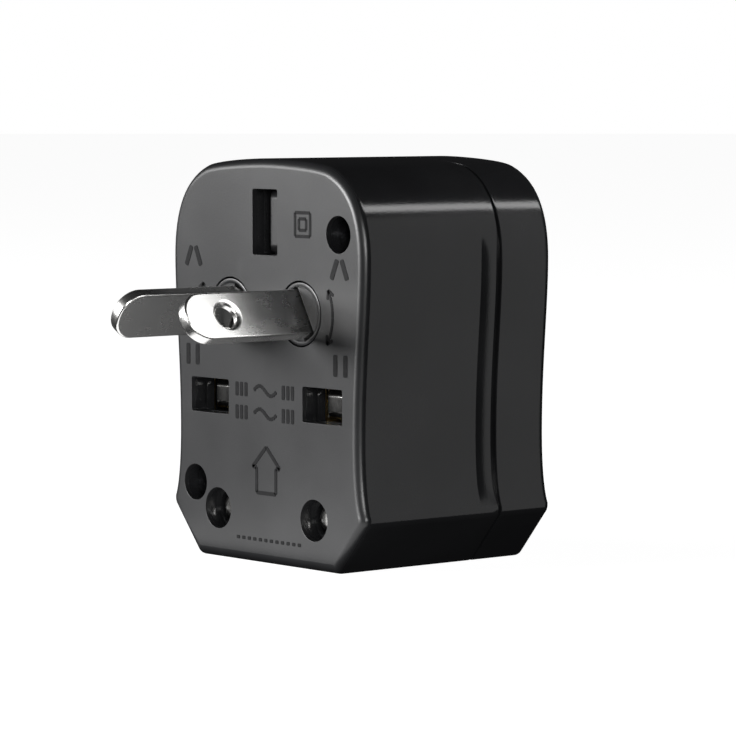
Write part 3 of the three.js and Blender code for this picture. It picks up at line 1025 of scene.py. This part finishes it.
def _ease(share: float) -> float:
    """Rises smoothly from 0 to 1."""
    share = max(0.0, min(1.0, share))
    return share * share * (3 - 2 * share)


# ------------------------------------------------------------------ socket face


@dataclass
class SocketFace:
    """The socket insert with its combined apertures, and the indicator lens."""

    finishes: Finishes
    middle_z: float = 4.75
    half_width: float = 11.5
    half_height: float = 16.5
    corner: float = 7.0
    eu_pole: float = 9.5
    us_pole: float = 6.35
    au_pole: float = 6.85
    blade_slot: Flat = (6.9, 2.0)
    waist: Flat = (4.6, 3.6)
    waist_pole: float = 8.1
    pole_radius: float = 2.6
    lens_z: float = 25.3
    lens_radius: float = 1.2
    lens_hole: float = 1.5

    @classmethod
    def panel(cls, name: str, inset: float, depth: float, end: float) -> Piece:
        """Makes the rounded panel shape of the socket opening.

        Args:
            name: the piece's name.
            inset: how far its edge is pulled in, in millimetres.
            depth: where it starts, from the plug face.
            end: where it ends, from the plug face.

        Returns:
            The new piece.
        """
        half_w, half_h = cls.half_width - inset, cls.half_height - inset
        low = DATUM.at(-half_w, depth, cls.middle_z - half_h)
        high = DATUM.at(half_w, end, cls.middle_z + half_h)
        panel = Piece.block(name, low, high)
        return panel.bevel_edges(runs_along_y, (cls.corner - inset) * MM, 10)

    def build(self) -> None:
        """Builds the insert and the lens."""
        back = (DATUM.back_y - DATUM.face_y) / MM
        plate = self.panel("socket_insert", 0.2, back - 2.1, back - 0.5)
        top_y = DATUM.at(0, back - 0.5, 0).y
        plate.bevel_edges(lies_at_y(top_y), 0.3 * MM, 3)
        plate.pick(Select.FACE,
                   lambda f: f.normal.y > 0.99 and f.calc_center_median().y > top_y - TOUCH)
        bpy.ops.mesh.inset(thickness=1.3 * MM, use_even_offset=True)
        bpy.ops.mesh.inset(thickness=0.35 * MM, depth=-0.25 * MM, use_even_offset=True)
        plate.done()
        for direction in (-1, 1):
            plate.cut(*self._aperture(direction, back))
        plate.round_rims(DATUM.at(0, back - 0.75, 0).y, 0.3 * MM, 3)
        plate.smooth()
        self.finishes.dress(plate.obj, SOCKET)
        plate.hand_over("housing", "socket_plastic", "socket_plate")

        place = DATUM.at(0, back - 2, self.lens_z)
        lens = Piece.rod("indicator_dome", place, self.lens_radius * MM, 1.8 * MM, 32)
        lens.bevel_edges(lies_at_y(DATUM.at(0, back - 0.2, 0).y), 0.5 * MM, 4)
        lens.smooth(50)
        self.finishes.dress(lens.obj, LENS)
        lens.hand_over("housing", "lens", "indicator_lens")

    def _aperture(self, direction: int, back: float) -> list[Piece]:
        """Makes the cutters of one pole: round hole, flat slot, slanted slot and the waist.

        Args:
            direction: 1 for the upper pole, -1 for the lower one.
            back: depth of the socket side from the plug face.

        Returns:
            The cutters.
        """
        def slot(offset: float, size: Flat) -> Piece:
            """Makes one rectangular cutter centred on the pole line."""
            width, height = size
            z = self.middle_z + direction * offset
            low = DATUM.at(-width / 2, back - 4, z - height / 2)
            high = DATUM.at(width / 2, back + 1, z + height / 2)
            return Piece.block("cutter", low, high).bevel_edges(runs_along_y, 0.4 * MM, 3)
        au_z = self.middle_z + direction * self.au_pole
        slanted = slot(self.au_pole, self.blade_slot)
        slanted.turn(direction * FoldingBlades.tilt, DATUM.at(0, back, au_z))
        eu_z = self.middle_z + direction * self.eu_pole
        hole = Piece.rod("cutter", DATUM.at(0, back - 4, eu_z), self.pole_radius * MM, 5 * MM)
        return [hole, slot(self.us_pole, self.blade_slot), slanted,
                slot(self.waist_pole, self.waist)]


# ------------------------------------------------------------------ pins and blades


@dataclass
class FoldingBlades:
    """The two flat blades and their collars in the face."""

    finishes: Finishes
    x: float = 6.85
    z: float = 11.1
    width: float = 6.3
    thickness: float = 1.6
    reach: float = 18.05
    tip_radius: float = 3.0
    hole_inset: float = 6.3
    hole_radius: float = 1.55
    rim_radius: float = 2.3
    edge: float = 0.28
    tang_half: float = 1.8
    tang_depth: float = 3.9
    tang_end: float = 7.6
    collar_radius: float = 3.9
    flange_radius: float = 4.8
    slot_gap: float = 0.25
    tilt: float = 30.0

    def build(self) -> None:
        """Builds both sides."""
        for name, side in (("left", -1), ("right", 1)):
            tilt = -side * self.tilt
            centre = DATUM.at(side * self.x, 0, self.z)
            blade = self._blade(f"flat_blade_{name}", side).turn(tilt, centre)
            self.finishes.dress(blade.obj, NICKEL)
            blade.hand_over(f"blade_{name}", "nickel", f"blade_{name}")
            collar = self._collar(f"turning_collar_{name}", side, tilt)
            self.finishes.dress(collar.obj, COLLAR)
            collar.hand_over(f"collar_{name}", "case", f"blade_collar_{name}")

    def _profile(self) -> list[Flat]:
        """Returns the blade's outline as (depth, height) from the tang round the tip.

        Returns:
            The outline's points.
        """
        half, reach, radius = self.width / 2, self.reach, self.tip_radius
        tang, depth = self.tang_half, self.tang_depth
        points: list[Flat] = [(self.tang_end, -tang), (self.tang_end, tang), (depth, tang),
                              (depth, half)]
        for sign in (1, -1):
            start = (-reach + radius, sign * half)
            end = (-reach, sign * (half - radius))
            corner = (-reach, sign * half)
            near = [0.55 * c + 0.45 * s for c, s in zip(corner, start)]
            far = [0.55 * c + 0.45 * e for c, e in zip(corner, end)]
            curve = interpolate_bezier(Vector(start), Vector(near), Vector(far), Vector(end), 10)
            arc = [(point.x, point.y) for point in curve]
            points += arc if sign > 0 else arc[::-1]
        return [*points, (depth, -half), (depth, -tang)]

    def _blade(self, name: str, side: int) -> Piece:
        """Builds one upright blade with rounded edges; the right one has a countersunk hole.

        Args:
            name: the piece's name.
            side: -1 for left, 1 for right.

        Returns:
            The finished blade.
        """
        x = side * self.x
        half = self.thickness / 2
        points = [DATUM.at(x - half, depth, self.z + height) for depth, height in self._profile()]
        blade = Piece.outline(name, points).thicken(Vector((self.thickness * MM, 0, 0)))
        blade.bevel_edges(lambda e: abs(e.verts[0].co.x - e.verts[1].co.x) < 1e-7,
                          self.edge * MM, 4)
        if side > 0:
            self._hole(blade, x)
        return blade.smooth(40)

    def _hole(self, blade: Piece, x: float) -> None:
        """Cuts the hole and its countersinks on both faces.

        Args:
            blade: the blade that is cut.
            x: the blade's middle, to the right.
        """
        depth = -self.reach + self.hole_inset
        middle = DATUM.at(x, depth, self.z)
        Piece.clear()
        bpy.ops.mesh.primitive_cylinder_add(
            vertices=48, radius=self.hole_radius * MM, depth=6 * MM, location=middle,
            rotation=(0, math.pi / 2, 0))
        blade.cut(Piece("cutter"))
        sink = self.rim_radius - self.hole_radius
        for sign in (-1, 1):
            Piece.clear()
            place = middle + Vector((sign * self.thickness / 2 * MM, 0, 0))
            inner, outer = self.hole_radius - 0.3, self.rim_radius + sink
            wide_end = dict(radius1=outer * MM, radius2=inner * MM)
            narrow_end = dict(radius1=inner * MM, radius2=outer * MM)
            bpy.ops.mesh.primitive_cone_add(
                vertices=48, depth=1.5 * MM, location=place, rotation=(0, math.pi / 2, 0),
                **(narrow_end if sign > 0 else wide_end))
            blade.cut(Piece("cutter"))

    def _collar(self, name: str, side: int, tilt: float) -> Piece:
        """Builds the disc with its flange, dished ring and blade slot.

        Args:
            name: the piece's name.
            side: -1 for left, 1 for right.
            tilt: the slot's angle in degrees.

        Returns:
            The finished collar.
        """
        x = side * self.x
        place = DATUM.at(x, 0.05, self.z)
        disc = Piece.rod(name, place, self.collar_radius * MM, 2.6 * MM, 64)
        disc.pick(Select.FACE, lambda f: f.normal.y < -0.99)
        bpy.ops.mesh.inset(thickness=0.45 * MM)
        bpy.ops.mesh.inset(thickness=0.2 * MM, depth=-0.15 * MM)
        disc.done()
        disc.bevel_edges(lies_at_y(place.y), 0.1 * MM, 2)
        flange = Piece.rod("flange", DATUM.at(x, 2.5, self.z), self.flange_radius * MM,
                           0.6 * MM, 64)
        half_w, half_h = self.thickness / 2 + self.slot_gap, self.width / 2 + self.slot_gap
        slot = Piece.block("cutter", DATUM.at(x - half_w, -1, self.z - half_h),
                           DATUM.at(x + half_w, 4, self.z + half_h))
        slot.bevel_edges(runs_along_y, 0.3 * MM, 3)
        slot.turn(tilt, DATUM.at(x, 0, self.z))
        return disc.join_on(flange).cut(slot).smooth()


@dataclass
class PinSets:
    """The retracted UK and EU pins."""

    finishes: Finishes
    names: tuple[str, ...] = ("uk_live_pin_solid", "uk_neutral_pin_solid", "uk_earth_pin_solid",
                              "round_pin_left", "round_pin_right")
    uk_shank: float = 3.6
    chamfer: float = 0.9
    edge: float = 0.25
    metal_length: float = 9.0
    dome: float = 1.3
    core_radius: float = 1.3

    def build(self) -> None:
        """Builds the pins around their CAD boxes."""
        for node, finish, slot in (("uk_live_pin", SHADE_DARKENED_PIN_NICKEL, "nickel"),
                                   ("uk_neutral_pin", SHADE_DARKENED_PIN_NICKEL, "nickel"),
                                   ("uk_earth_pin", NYLON, "inner_plastic")):
            low, high = (Vector(corner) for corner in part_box(node))
            high.y -= self.uk_shank * MM
            pin = Piece.block(f"{node}_solid", low, high)
            pin.pick(Select.FACE, lambda f: f.normal.y < -0.99)
            bpy.ops.mesh.inset(thickness=self.chamfer * MM)
            pin.done()
            pin.move_points(lambda point, low=low, high=high: self._push_rim(point, low, high))
            pin.bevel_edges(lambda e: True, self.edge * MM, 3).smooth(40)
            self.finishes.dress(pin.obj, finish)
            pin.hand_over("uk_set", slot, node)
        for name in ("left", "right"):
            self._round_pin(name)

    def _push_rim(self, point: Vector, low: Vector, high: Vector) -> Vector:
        """Pushes the rim of the tip back, so that the inset face stands out.

        Args:
            point: a point of the pin.
            low: the pin's lowest corner.
            high: its highest corner.

        Returns:
            How far the point moves.
        """
        on_rim = (min(point.x - low.x, high.x - point.x) < TOUCH
                  or min(point.z - low.z, high.z - point.z) < TOUCH)
        on_tip = abs(point.y - low.y) < TOUCH
        return Vector((0, self.chamfer * MM if on_rim and on_tip else 0, 0))

    def _round_pin(self, name: str) -> None:
        """Builds one round pin with its domed tip and the thinner core under its sleeve.

        Args:
            name: left or right.
        """
        low, high = (Vector(corner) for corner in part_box(f"eu_pin_{name}"))
        middle = Vector(((low.x + high.x) / 2, low.y, (low.z + high.z) / 2))
        radius = (high.x - low.x) / 2
        metal = self.metal_length * MM
        pin = Piece.rod(f"round_pin_{name}", middle, radius, metal, 40)
        pin.bevel_edges(lies_at_y(low.y), self.dome * MM, 7)
        pin.pick(Select.FACE, lambda f: f.normal.y > 0.99)
        bpy.ops.mesh.inset(thickness=radius - self.core_radius * MM)
        bpy.ops.mesh.extrude_region_move(
            TRANSFORM_OT_translate={"value": (0, high.y - low.y - metal, 0)})
        pin.done().smooth(40)
        self.finishes.dress(pin.obj, SHADE_DARKENED_PIN_NICKEL)
        pin.hand_over("eu_set", "nickel", f"eu_pin_{name}")


# ------------------------------------------------------------------ knobs


@dataclass
class SliderKnobs:
    """The three ribbed slider knobs in their bay."""

    finishes: Finishes
    ribs: int = 5
    groove_depth: float = 0.35
    groove_share: float = 0.27
    groove_end: float = 0.7
    pad_depth: float = 1.0
    corner: float = 0.9
    edge: float = 0.22
    stem_half: float = 0.9

    def build(self) -> None:
        """Builds each knob around its CAD box."""
        for name in ("us_au", "uk", "eu"):
            piece = self._knob(f"slider_{name}", *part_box(f"knob_{name}"))
            self.finishes.dress(piece.obj, KNOB)
            piece.hand_over(f"{name}_knob", "knob_plastic", f"knob_{name}")

    def _knob(self, name: str, low: Place, high: Place) -> Piece:
        """Builds one knob: crowned pad with grip ribs, and its stem.

        Args:
            name: the piece's name.
            low: lowest corner of its CAD box.
            high: highest corner.

        Returns:
            The finished piece.
        """
        corner, far = Vector(low), Vector(high)
        pad = Piece.block(name, corner, Vector((corner.x + self.pad_depth * MM, far.y, far.z)))
        pad.bevel_edges(crosses_x(0.5 * MM), self.corner * MM, 5)
        pad.bevel_edges(lambda e: all(abs(v.co.x - corner.x) < TOUCH for v in e.verts),
                        self.edge * MM, 3)
        length = far.y - corner.y
        pitch = length / (self.ribs + 1)
        half = pitch * self.groove_share
        end = self.groove_end * MM
        for index in range(self.ribs):
            y = corner.y + pitch * (index + 1)
            low_end = Vector((corner.x - MM, y - half, corner.z + end))
            high_end = Vector((corner.x + self.groove_depth * MM, y + half, far.z - end))
            groove = Piece.block("cutter", low_end, high_end)
            pad.cut(groove.bevel_edges(lambda e: True, 0.12 * MM, 2))
        middle_y = (corner.y + far.y) / 2 if length > 6 * MM else self._stem_middle(name)
        middle = Vector((0, middle_y, (corner.z + far.z) / 2))
        reach = Vector((0, self.stem_half, self.stem_half)) * MM
        stem = Piece.block("stem", middle - reach + Vector((corner.x + 0.9 * MM, 0, 0)),
                           middle + reach + Vector((far.x, 0, 0)))
        stem.bevel_edges(crosses_x(MM), 0.2 * MM, 2)
        return pad.join_on(stem).smooth(40)

    @staticmethod
    def _stem_middle(name: str) -> float:
        """Returns the y of the carrier that the knob drives."""
        low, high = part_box(name.replace("slider_", "") + "_carrier")
        return (low[1] + high[1]) / 2


@dataclass
class KnobSprings:
    """The small coil springs behind the knobs."""

    finishes: Finishes
    turns: int = 4
    wire: float = 0.12
    pressed_share: float = 0.6

    def build(self) -> None:
        """Winds each spring inside its CAD box and gives it a mesh of its own."""
        for name in ("us_au", "uk", "eu"):
            node = f"knob_spring_{name}"
            low, high = (Vector(corner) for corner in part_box(node))
            spring = self._coil(f"return_spring_{name}", low, high)
            self.finishes.dress(spring.obj, STEEL)
            spring.hand_over(f"{name}_set", "steel", node)
            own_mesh(spring.obj)

    def _coil(self, name: str, low: Vector, high: Vector) -> Piece:
        """Winds one coil along X that fills a box.

        Args:
            name: the piece's name.
            low: lowest corner of the box.
            high: highest corner.

        Returns:
            The finished piece.
        """
        wire = self.wire * MM
        radius = min(high.y - low.y, high.z - low.z) / 2 - wire
        pitch = (high.x - low.x - 2 * wire) / self.turns
        Piece.clear()
        bpy.ops.mesh.primitive_circle_add(vertices=8, radius=wire, location=(0, radius, 0))
        coil = Piece(name).modify("SCREW", axis="X", iterations=self.turns, screw_offset=pitch,
                                  steps=24, render_steps=24)
        coil.pick(Select.EDGE, lambda e: e.is_boundary)
        bpy.ops.mesh.fill_holes(sides=8)
        bpy.ops.mesh.select_all(action="SELECT")
        bpy.ops.mesh.normals_make_consistent(inside=False)
        coil.done()
        start = min(vertex.co.x for vertex in coil.obj.data.vertices)
        place = Vector((low.x - start, (low.y + high.y) / 2, (low.z + high.z) / 2))
        return coil.move_points(lambda point: place).smooth(60)


# ------------------------------------------------------------------ printed marks


@dataclass
class FaceMarks:
    """Plain pictograms on the plug face: blade positions, turn arrows and neutral signs."""

    finishes: Finishes
    raise_by: float = 0.05
    slanted_sign: Flat = (14.4, 17.2)
    slanted_drop: float = 0.4
    upright_sign: Flat = (14.6, 5.1)
    double_square: Flat = (7.4, 22.1)
    rows: Flat = (1.2, -1.7)
    house: Flat = (0.2, -8.9)
    dash_row: float = -17.5
    arrow_radius: float = 6.3

    def build(self) -> None:
        """Builds the marks as one thin raised print."""
        strokes: list[Piece] = []
        for side in (-1, 1):
            x, z = self.slanted_sign
            strokes += self._blade_sign(side * x, z - side * self.slanted_drop, 24)
            x, z = self.upright_sign
            strokes += self._blade_sign(side * x, z, 0)
            strokes += self._turn_arrow(side)
        strokes += self._double_square(*self.double_square)
        for row_z in self.rows:
            strokes += self._rating_row(row_z)
        strokes += self._house(*self.house)
        starts = [0.9 + 1.1 * step for step in range(-6, 6)]
        strokes += [self._bar(x, self.dash_row, x + 0.6, self.dash_row, 0.45) for x in starts]
        first, *rest = strokes
        first.gather(*rest)
        first.obj.name = first.obj.data.name = "face_marks"
        self.finishes.dress(first.obj, INK)
        first.hand_over("housing", "case")

    def _bar(self, x0: float, z0: float, x1: float, z1: float, width: float = 0.55) -> Piece:
        """Makes one straight stroke from point to point on the plug face.

        Args:
            x0: start, to the right.
            z0: start, above the pin line.
            x1: end, to the right.
            z1: end, above the pin line.
            width: stroke width.

        Returns:
            The stroke.
        """
        length = math.hypot(x1 - x0, z1 - z0)
        middle = DATUM.at((x0 + x1) / 2, 0, (z0 + z1) / 2)
        half = Vector((width / 2, self.raise_by, length / 2)) * MM
        bar = Piece.block("stroke", middle - half, middle + half)
        bar.bevel_edges(runs_along_y, width * 0.3 * MM, 3)
        angle = math.degrees(math.atan2(x1 - x0, z1 - z0))
        return bar.turn(angle, middle)

    def _path(self, points: list[Flat], width: float = 0.55) -> list[Piece]:
        """Makes strokes through a row of points."""
        return [self._bar(*start, *end, width) for start, end in zip(points, points[1:])]

    def _blade_sign(self, x: float, z: float, tilt: float) -> list[Piece]:
        """Makes the sign of two blades that lean together at an angle.

        Args:
            x: its middle, to the right.
            z: its middle, above the pin line.
            tilt: each bar's lean in degrees.

        Returns:
            The strokes.
        """
        lean = math.radians(tilt)
        reach = (1.35 * math.sin(lean), 1.35 * math.cos(lean))
        bars = []
        for side in (-1, 1):
            top = (x + side * 0.95 - side * reach[0], z + reach[1])
            foot = (x + side * 0.95 + side * reach[0], z - reach[1])
            bars.append(self._bar(*foot, *top, 0.75))
        return bars

    def _turn_arrow(self, side: int) -> list[Piece]:
        """Makes the curved arrow with two heads beside a blade.

        Args:
            side: -1 for left, 1 for right.

        Returns:
            The strokes.
        """
        angles = [math.radians(degrees) for degrees in range(-34, 35, 8)]
        points = [(side * (FoldingBlades.x + self.arrow_radius * math.cos(angle)),
                   FoldingBlades.z + self.arrow_radius * math.sin(angle)) for angle in angles]
        strokes = self._path(points, 0.4)
        for end, before in ((points[0], points[1]), (points[-1], points[-2])):
            along = (Vector(before) - Vector(end)).normalized()
            for turn in (0.55, -0.55):
                wing = Vector((along.x * math.cos(turn) - along.y * math.sin(turn),
                               along.x * math.sin(turn) + along.y * math.cos(turn)))
                tip = Vector(end)
                strokes.append(self._bar(tip.x, tip.y, tip.x + wing.x * 1.2, tip.y + wing.y * 1.2,
                                         0.4))
        return strokes

    def _double_square(self, x: float, z: float) -> list[Piece]:
        """Makes the sign of a square in a square.

        Args:
            x: its middle, to the right.
            z: its middle, above the pin line.

        Returns:
            The strokes.
        """
        strokes = []
        for half in (1.45, 0.7):
            corners = [(x - half, z - half), (x + half, z - half), (x + half, z + half),
                       (x - half, z + half), (x - half, z - half)]
            strokes += self._path(corners, 0.42)
        return strokes

    def _rating_row(self, z: float) -> list[Piece]:
        """Makes a row of plain bars with an alternating-current wave between them.

        Args:
            z: its height above the pin line.

        Returns:
            The strokes.
        """
        strokes = []
        for x in (-5.6, -4.7, -3.8, 3.6, 4.5, 5.4):
            strokes.append(self._bar(x, z - 0.9, x, z + 0.9, 0.58))
        wave = [(-2.2 + 0.37 * step, z + 0.6 * math.sin(step * math.pi / 6)) for step in range(13)]
        return strokes + self._path(wave, 0.5)

    def _house(self, x: float, z: float) -> list[Piece]:
        """Makes the outline of a small house, the sign for indoor use.

        Args:
            x: its middle, to the right.
            z: its middle, above the pin line.

        Returns:
            The strokes.
        """
        outline = [(x - 1.9, z - 2.7), (x - 1.9, z + 0.5), (x - 2.7, z + 0.5), (x, z + 3.1),
                   (x + 2.7, z + 0.5), (x + 1.9, z + 0.5), (x + 1.9, z - 2.7), (x - 1.9, z - 2.7)]
        return self._path(outline, 0.5)


# ------------------------------------------------------------------ carried-over CAD nodes


@dataclass
class InnerWorks:
    """Finishes of the CAD nodes that stay as they are."""

    finishes: Finishes

    def dress(self) -> None:
        """Gives every remaining CAD node its finish."""
        groups = {
            NYLON: ("us_au_carrier", "uk_carrier", "eu_carrier", "eu_sleeve_left",
                    "eu_sleeve_right"),
            BRASS: ("live_plate", "neutral_plate", "live_clip", "neutral_clip", "blade_hub_left",
                    "blade_hub_right"),
            STEEL: ("screw_upper", "screw_lower"),
        }
        for finish, nodes in groups.items():
            for node in nodes:
                self.finishes.dress(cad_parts[node], finish)
                LOG.info("%s: %s", node, finish.name)


# ------------------------------------------------------------------ stage


@dataclass(frozen=True)
class AreaLight:
    """One soft rectangular light: place and aim in metres, size in metres, power in watts."""

    name: str
    place: Place
    aim: Place
    size: Flat
    power: float

    def hang(self) -> None:
        """Adds the light, aimed and unseen by the camera."""
        data = bpy.data.lights.new(self.name, "AREA")
        data.shape = "RECTANGLE"
        data.size, data.size_y = self.size
        data.energy = self.power
        light = bpy.data.objects.new(self.name, data)
        light.location = self.place
        light.visible_camera = False
        facing = (Vector(self.aim) - Vector(self.place)).to_track_quat("-Z", "Y")
        light.rotation_euler = facing.to_euler()
        bpy.context.scene.collection.objects.link(light)


LIGHTS = (
    AreaLight("key_light", (-0.5, -0.95, 0.24), (0, 0, 0.02), (0.45, 0.35), 15.5),
    AreaLight("face_gloss", (-0.17, -0.15, 0.095), (0, -0.015, 0.042), (0.16, 0.06), 0.19),
    AreaLight("side_card", (0.205, 0.167, 0.055), (0.019, 0, 0.055), (0.12, 0.25), 0.056),
    AreaLight("side_wash", (0.9, -0.55, 0.22), (0, 0, 0.02), (0.3, 0.3), 5.0),
    AreaLight("shoulder_strip", (0.0473, 0.0388, 0.0788), (0.0168, 0.0388, 0.0447),
              (0.08, 0.008), 0.012),
    AreaLight("blade_box", (0.0976, 0.0254, 0.0976), (0.0076, -0.025, 0.0316),
              (0.14, 0.06), 0.08),
    AreaLight("rim_card", (0.127, -0.235, 0.21), (0.007, -0.027, 0.032), (0.09, 0.09), 0.11),
    AreaLight("pin_card_left", (-0.13, 0.07, 0.03), (-0.01, -0.03, 0.02), (0.14, 0.1), 0.045),
    AreaLight("pin_card_right", (0.13, 0.07, 0.03), (0.01, -0.03, 0.02), (0.14, 0.1), 0.045),
    AreaLight("floor_card", (0.0, -0.034, 0.001), (0.0, -0.034, 0.1), (0.07, 0.032), 0.010),
)


@dataclass
class Studio:
    """Camera, pale floor and soft lights."""

    azimuth: float = 49.62
    elevation: float = 4.24
    lens: float = 181.5
    eye: Place = (360.79, -290.02, 38.13)
    floor_glow: float = 0.96
    ambient: Place = (0.01, 0.01, 0.0105)

    def build(self) -> None:
        """Sets up the whole stage."""
        self._camera()
        self._floor()
        self._world()
        for light in LIGHTS:
            light.hang()
        bpy.context.scene.view_settings.view_transform = "Standard"

    @staticmethod
    def reserve(light: str, *pieces: str) -> None:
        """Lets one light fall on the named pieces only.

        Args:
            light: the light's name.
            pieces: the pieces that it reaches.
        """
        group = bpy.data.collections.new(f"{light}_reach")
        for piece in pieces:
            group.objects.link(bpy.data.objects[piece])
        bpy.data.objects[light].light_linking.receiver_collection = group

    def _camera(self) -> None:
        """Places the camera at its measured eye point."""
        data = bpy.data.cameras.new("camera")
        data.lens = self.lens
        data.sensor_width = 36
        data.clip_start, data.clip_end = 0.01, 20
        camera = bpy.data.objects.new("camera", data)
        bpy.context.scene.collection.objects.link(camera)
        camera.location = DATUM.at(*self.eye)
        psi, tip = math.radians(self.azimuth), math.radians(self.elevation)
        back = Vector((math.sin(psi) * math.cos(tip), -math.cos(psi) * math.cos(tip),
                       math.sin(tip)))
        camera.rotation_euler = (-back).to_track_quat("-Z", "Y").to_euler()
        bpy.context.scene.camera = camera

    def _floor(self) -> None:
        """Lays the pale floor."""
        Piece.clear()
        bpy.ops.mesh.primitive_circle_add(vertices=64, radius=5, fill_type="NGON")
        floor = Piece("floor")
        graph = Graph("pale_floor")
        graph.set("Base Color", graph.mix(graph.noise(3, 2), (0.3, 0.3, 0.3), (0.32, 0.32, 0.32)))
        graph.set("Roughness", 0.9)
        graph.set("Specular IOR Level", 0.0)
        graph.set("Emission Color", (1.0, 1.0, 1.0, 1.0))
        graph.set("Emission Strength", self.floor_glow)
        floor.obj.data.materials.append(graph.material)
        floor.obj.visible_glossy = floor.obj.visible_diffuse = floor.obj.visible_shadow = False

    def _world(self) -> None:
        """Makes the surroundings white to the eye and a softer grey as light."""
        world = bpy.data.worlds.new("studio")
        bpy.context.scene.world = world
        world.use_nodes = True
        nodes, links = world.node_tree.nodes, world.node_tree.links
        background = nodes["Background"]
        sight = nodes.new("ShaderNodeLightPath")
        blend = nodes.new("ShaderNodeMix")
        blend.data_type = "RGBA"
        blend.inputs[6].default_value = (*self.ambient, 1)
        blend.inputs[7].default_value = (1, 1, 1, 1)
        links.new(sight.outputs["Is Camera Ray"], blend.inputs[0])
        links.new(blend.outputs[2], background.inputs["Color"])


# ------------------------------------------------------------------ assembly


def main() -> None:
    """Builds every sub-assembly in order."""
    logging.basicConfig(level=logging.INFO, format="%(name)s: %(message)s")
    finishes = Finishes()
    studio = Studio()
    studio.build()
    Case(finishes, CaseOutline(), Openings()).build()
    SocketFace(finishes).build()
    FoldingBlades(finishes).build()
    pins = PinSets(finishes)
    pins.build()
    SliderKnobs(finishes).build()
    KnobSprings(finishes).build()
    FaceMarks(finishes).build()
    InnerWorks(finishes).dress()
    studio.reserve("shoulder_strip", "rear_shell", "front_shell")
    blades = ("flat_blade_left", "flat_blade_right")
    studio.reserve("rim_card", *blades)
    studio.reserve("blade_box", *blades, *pins.names)
    for light in ("pin_card_left", "pin_card_right"):
        studio.reserve(light, *pins.names)
    Piece.clear()


if __name__ == "__main__":
    main()
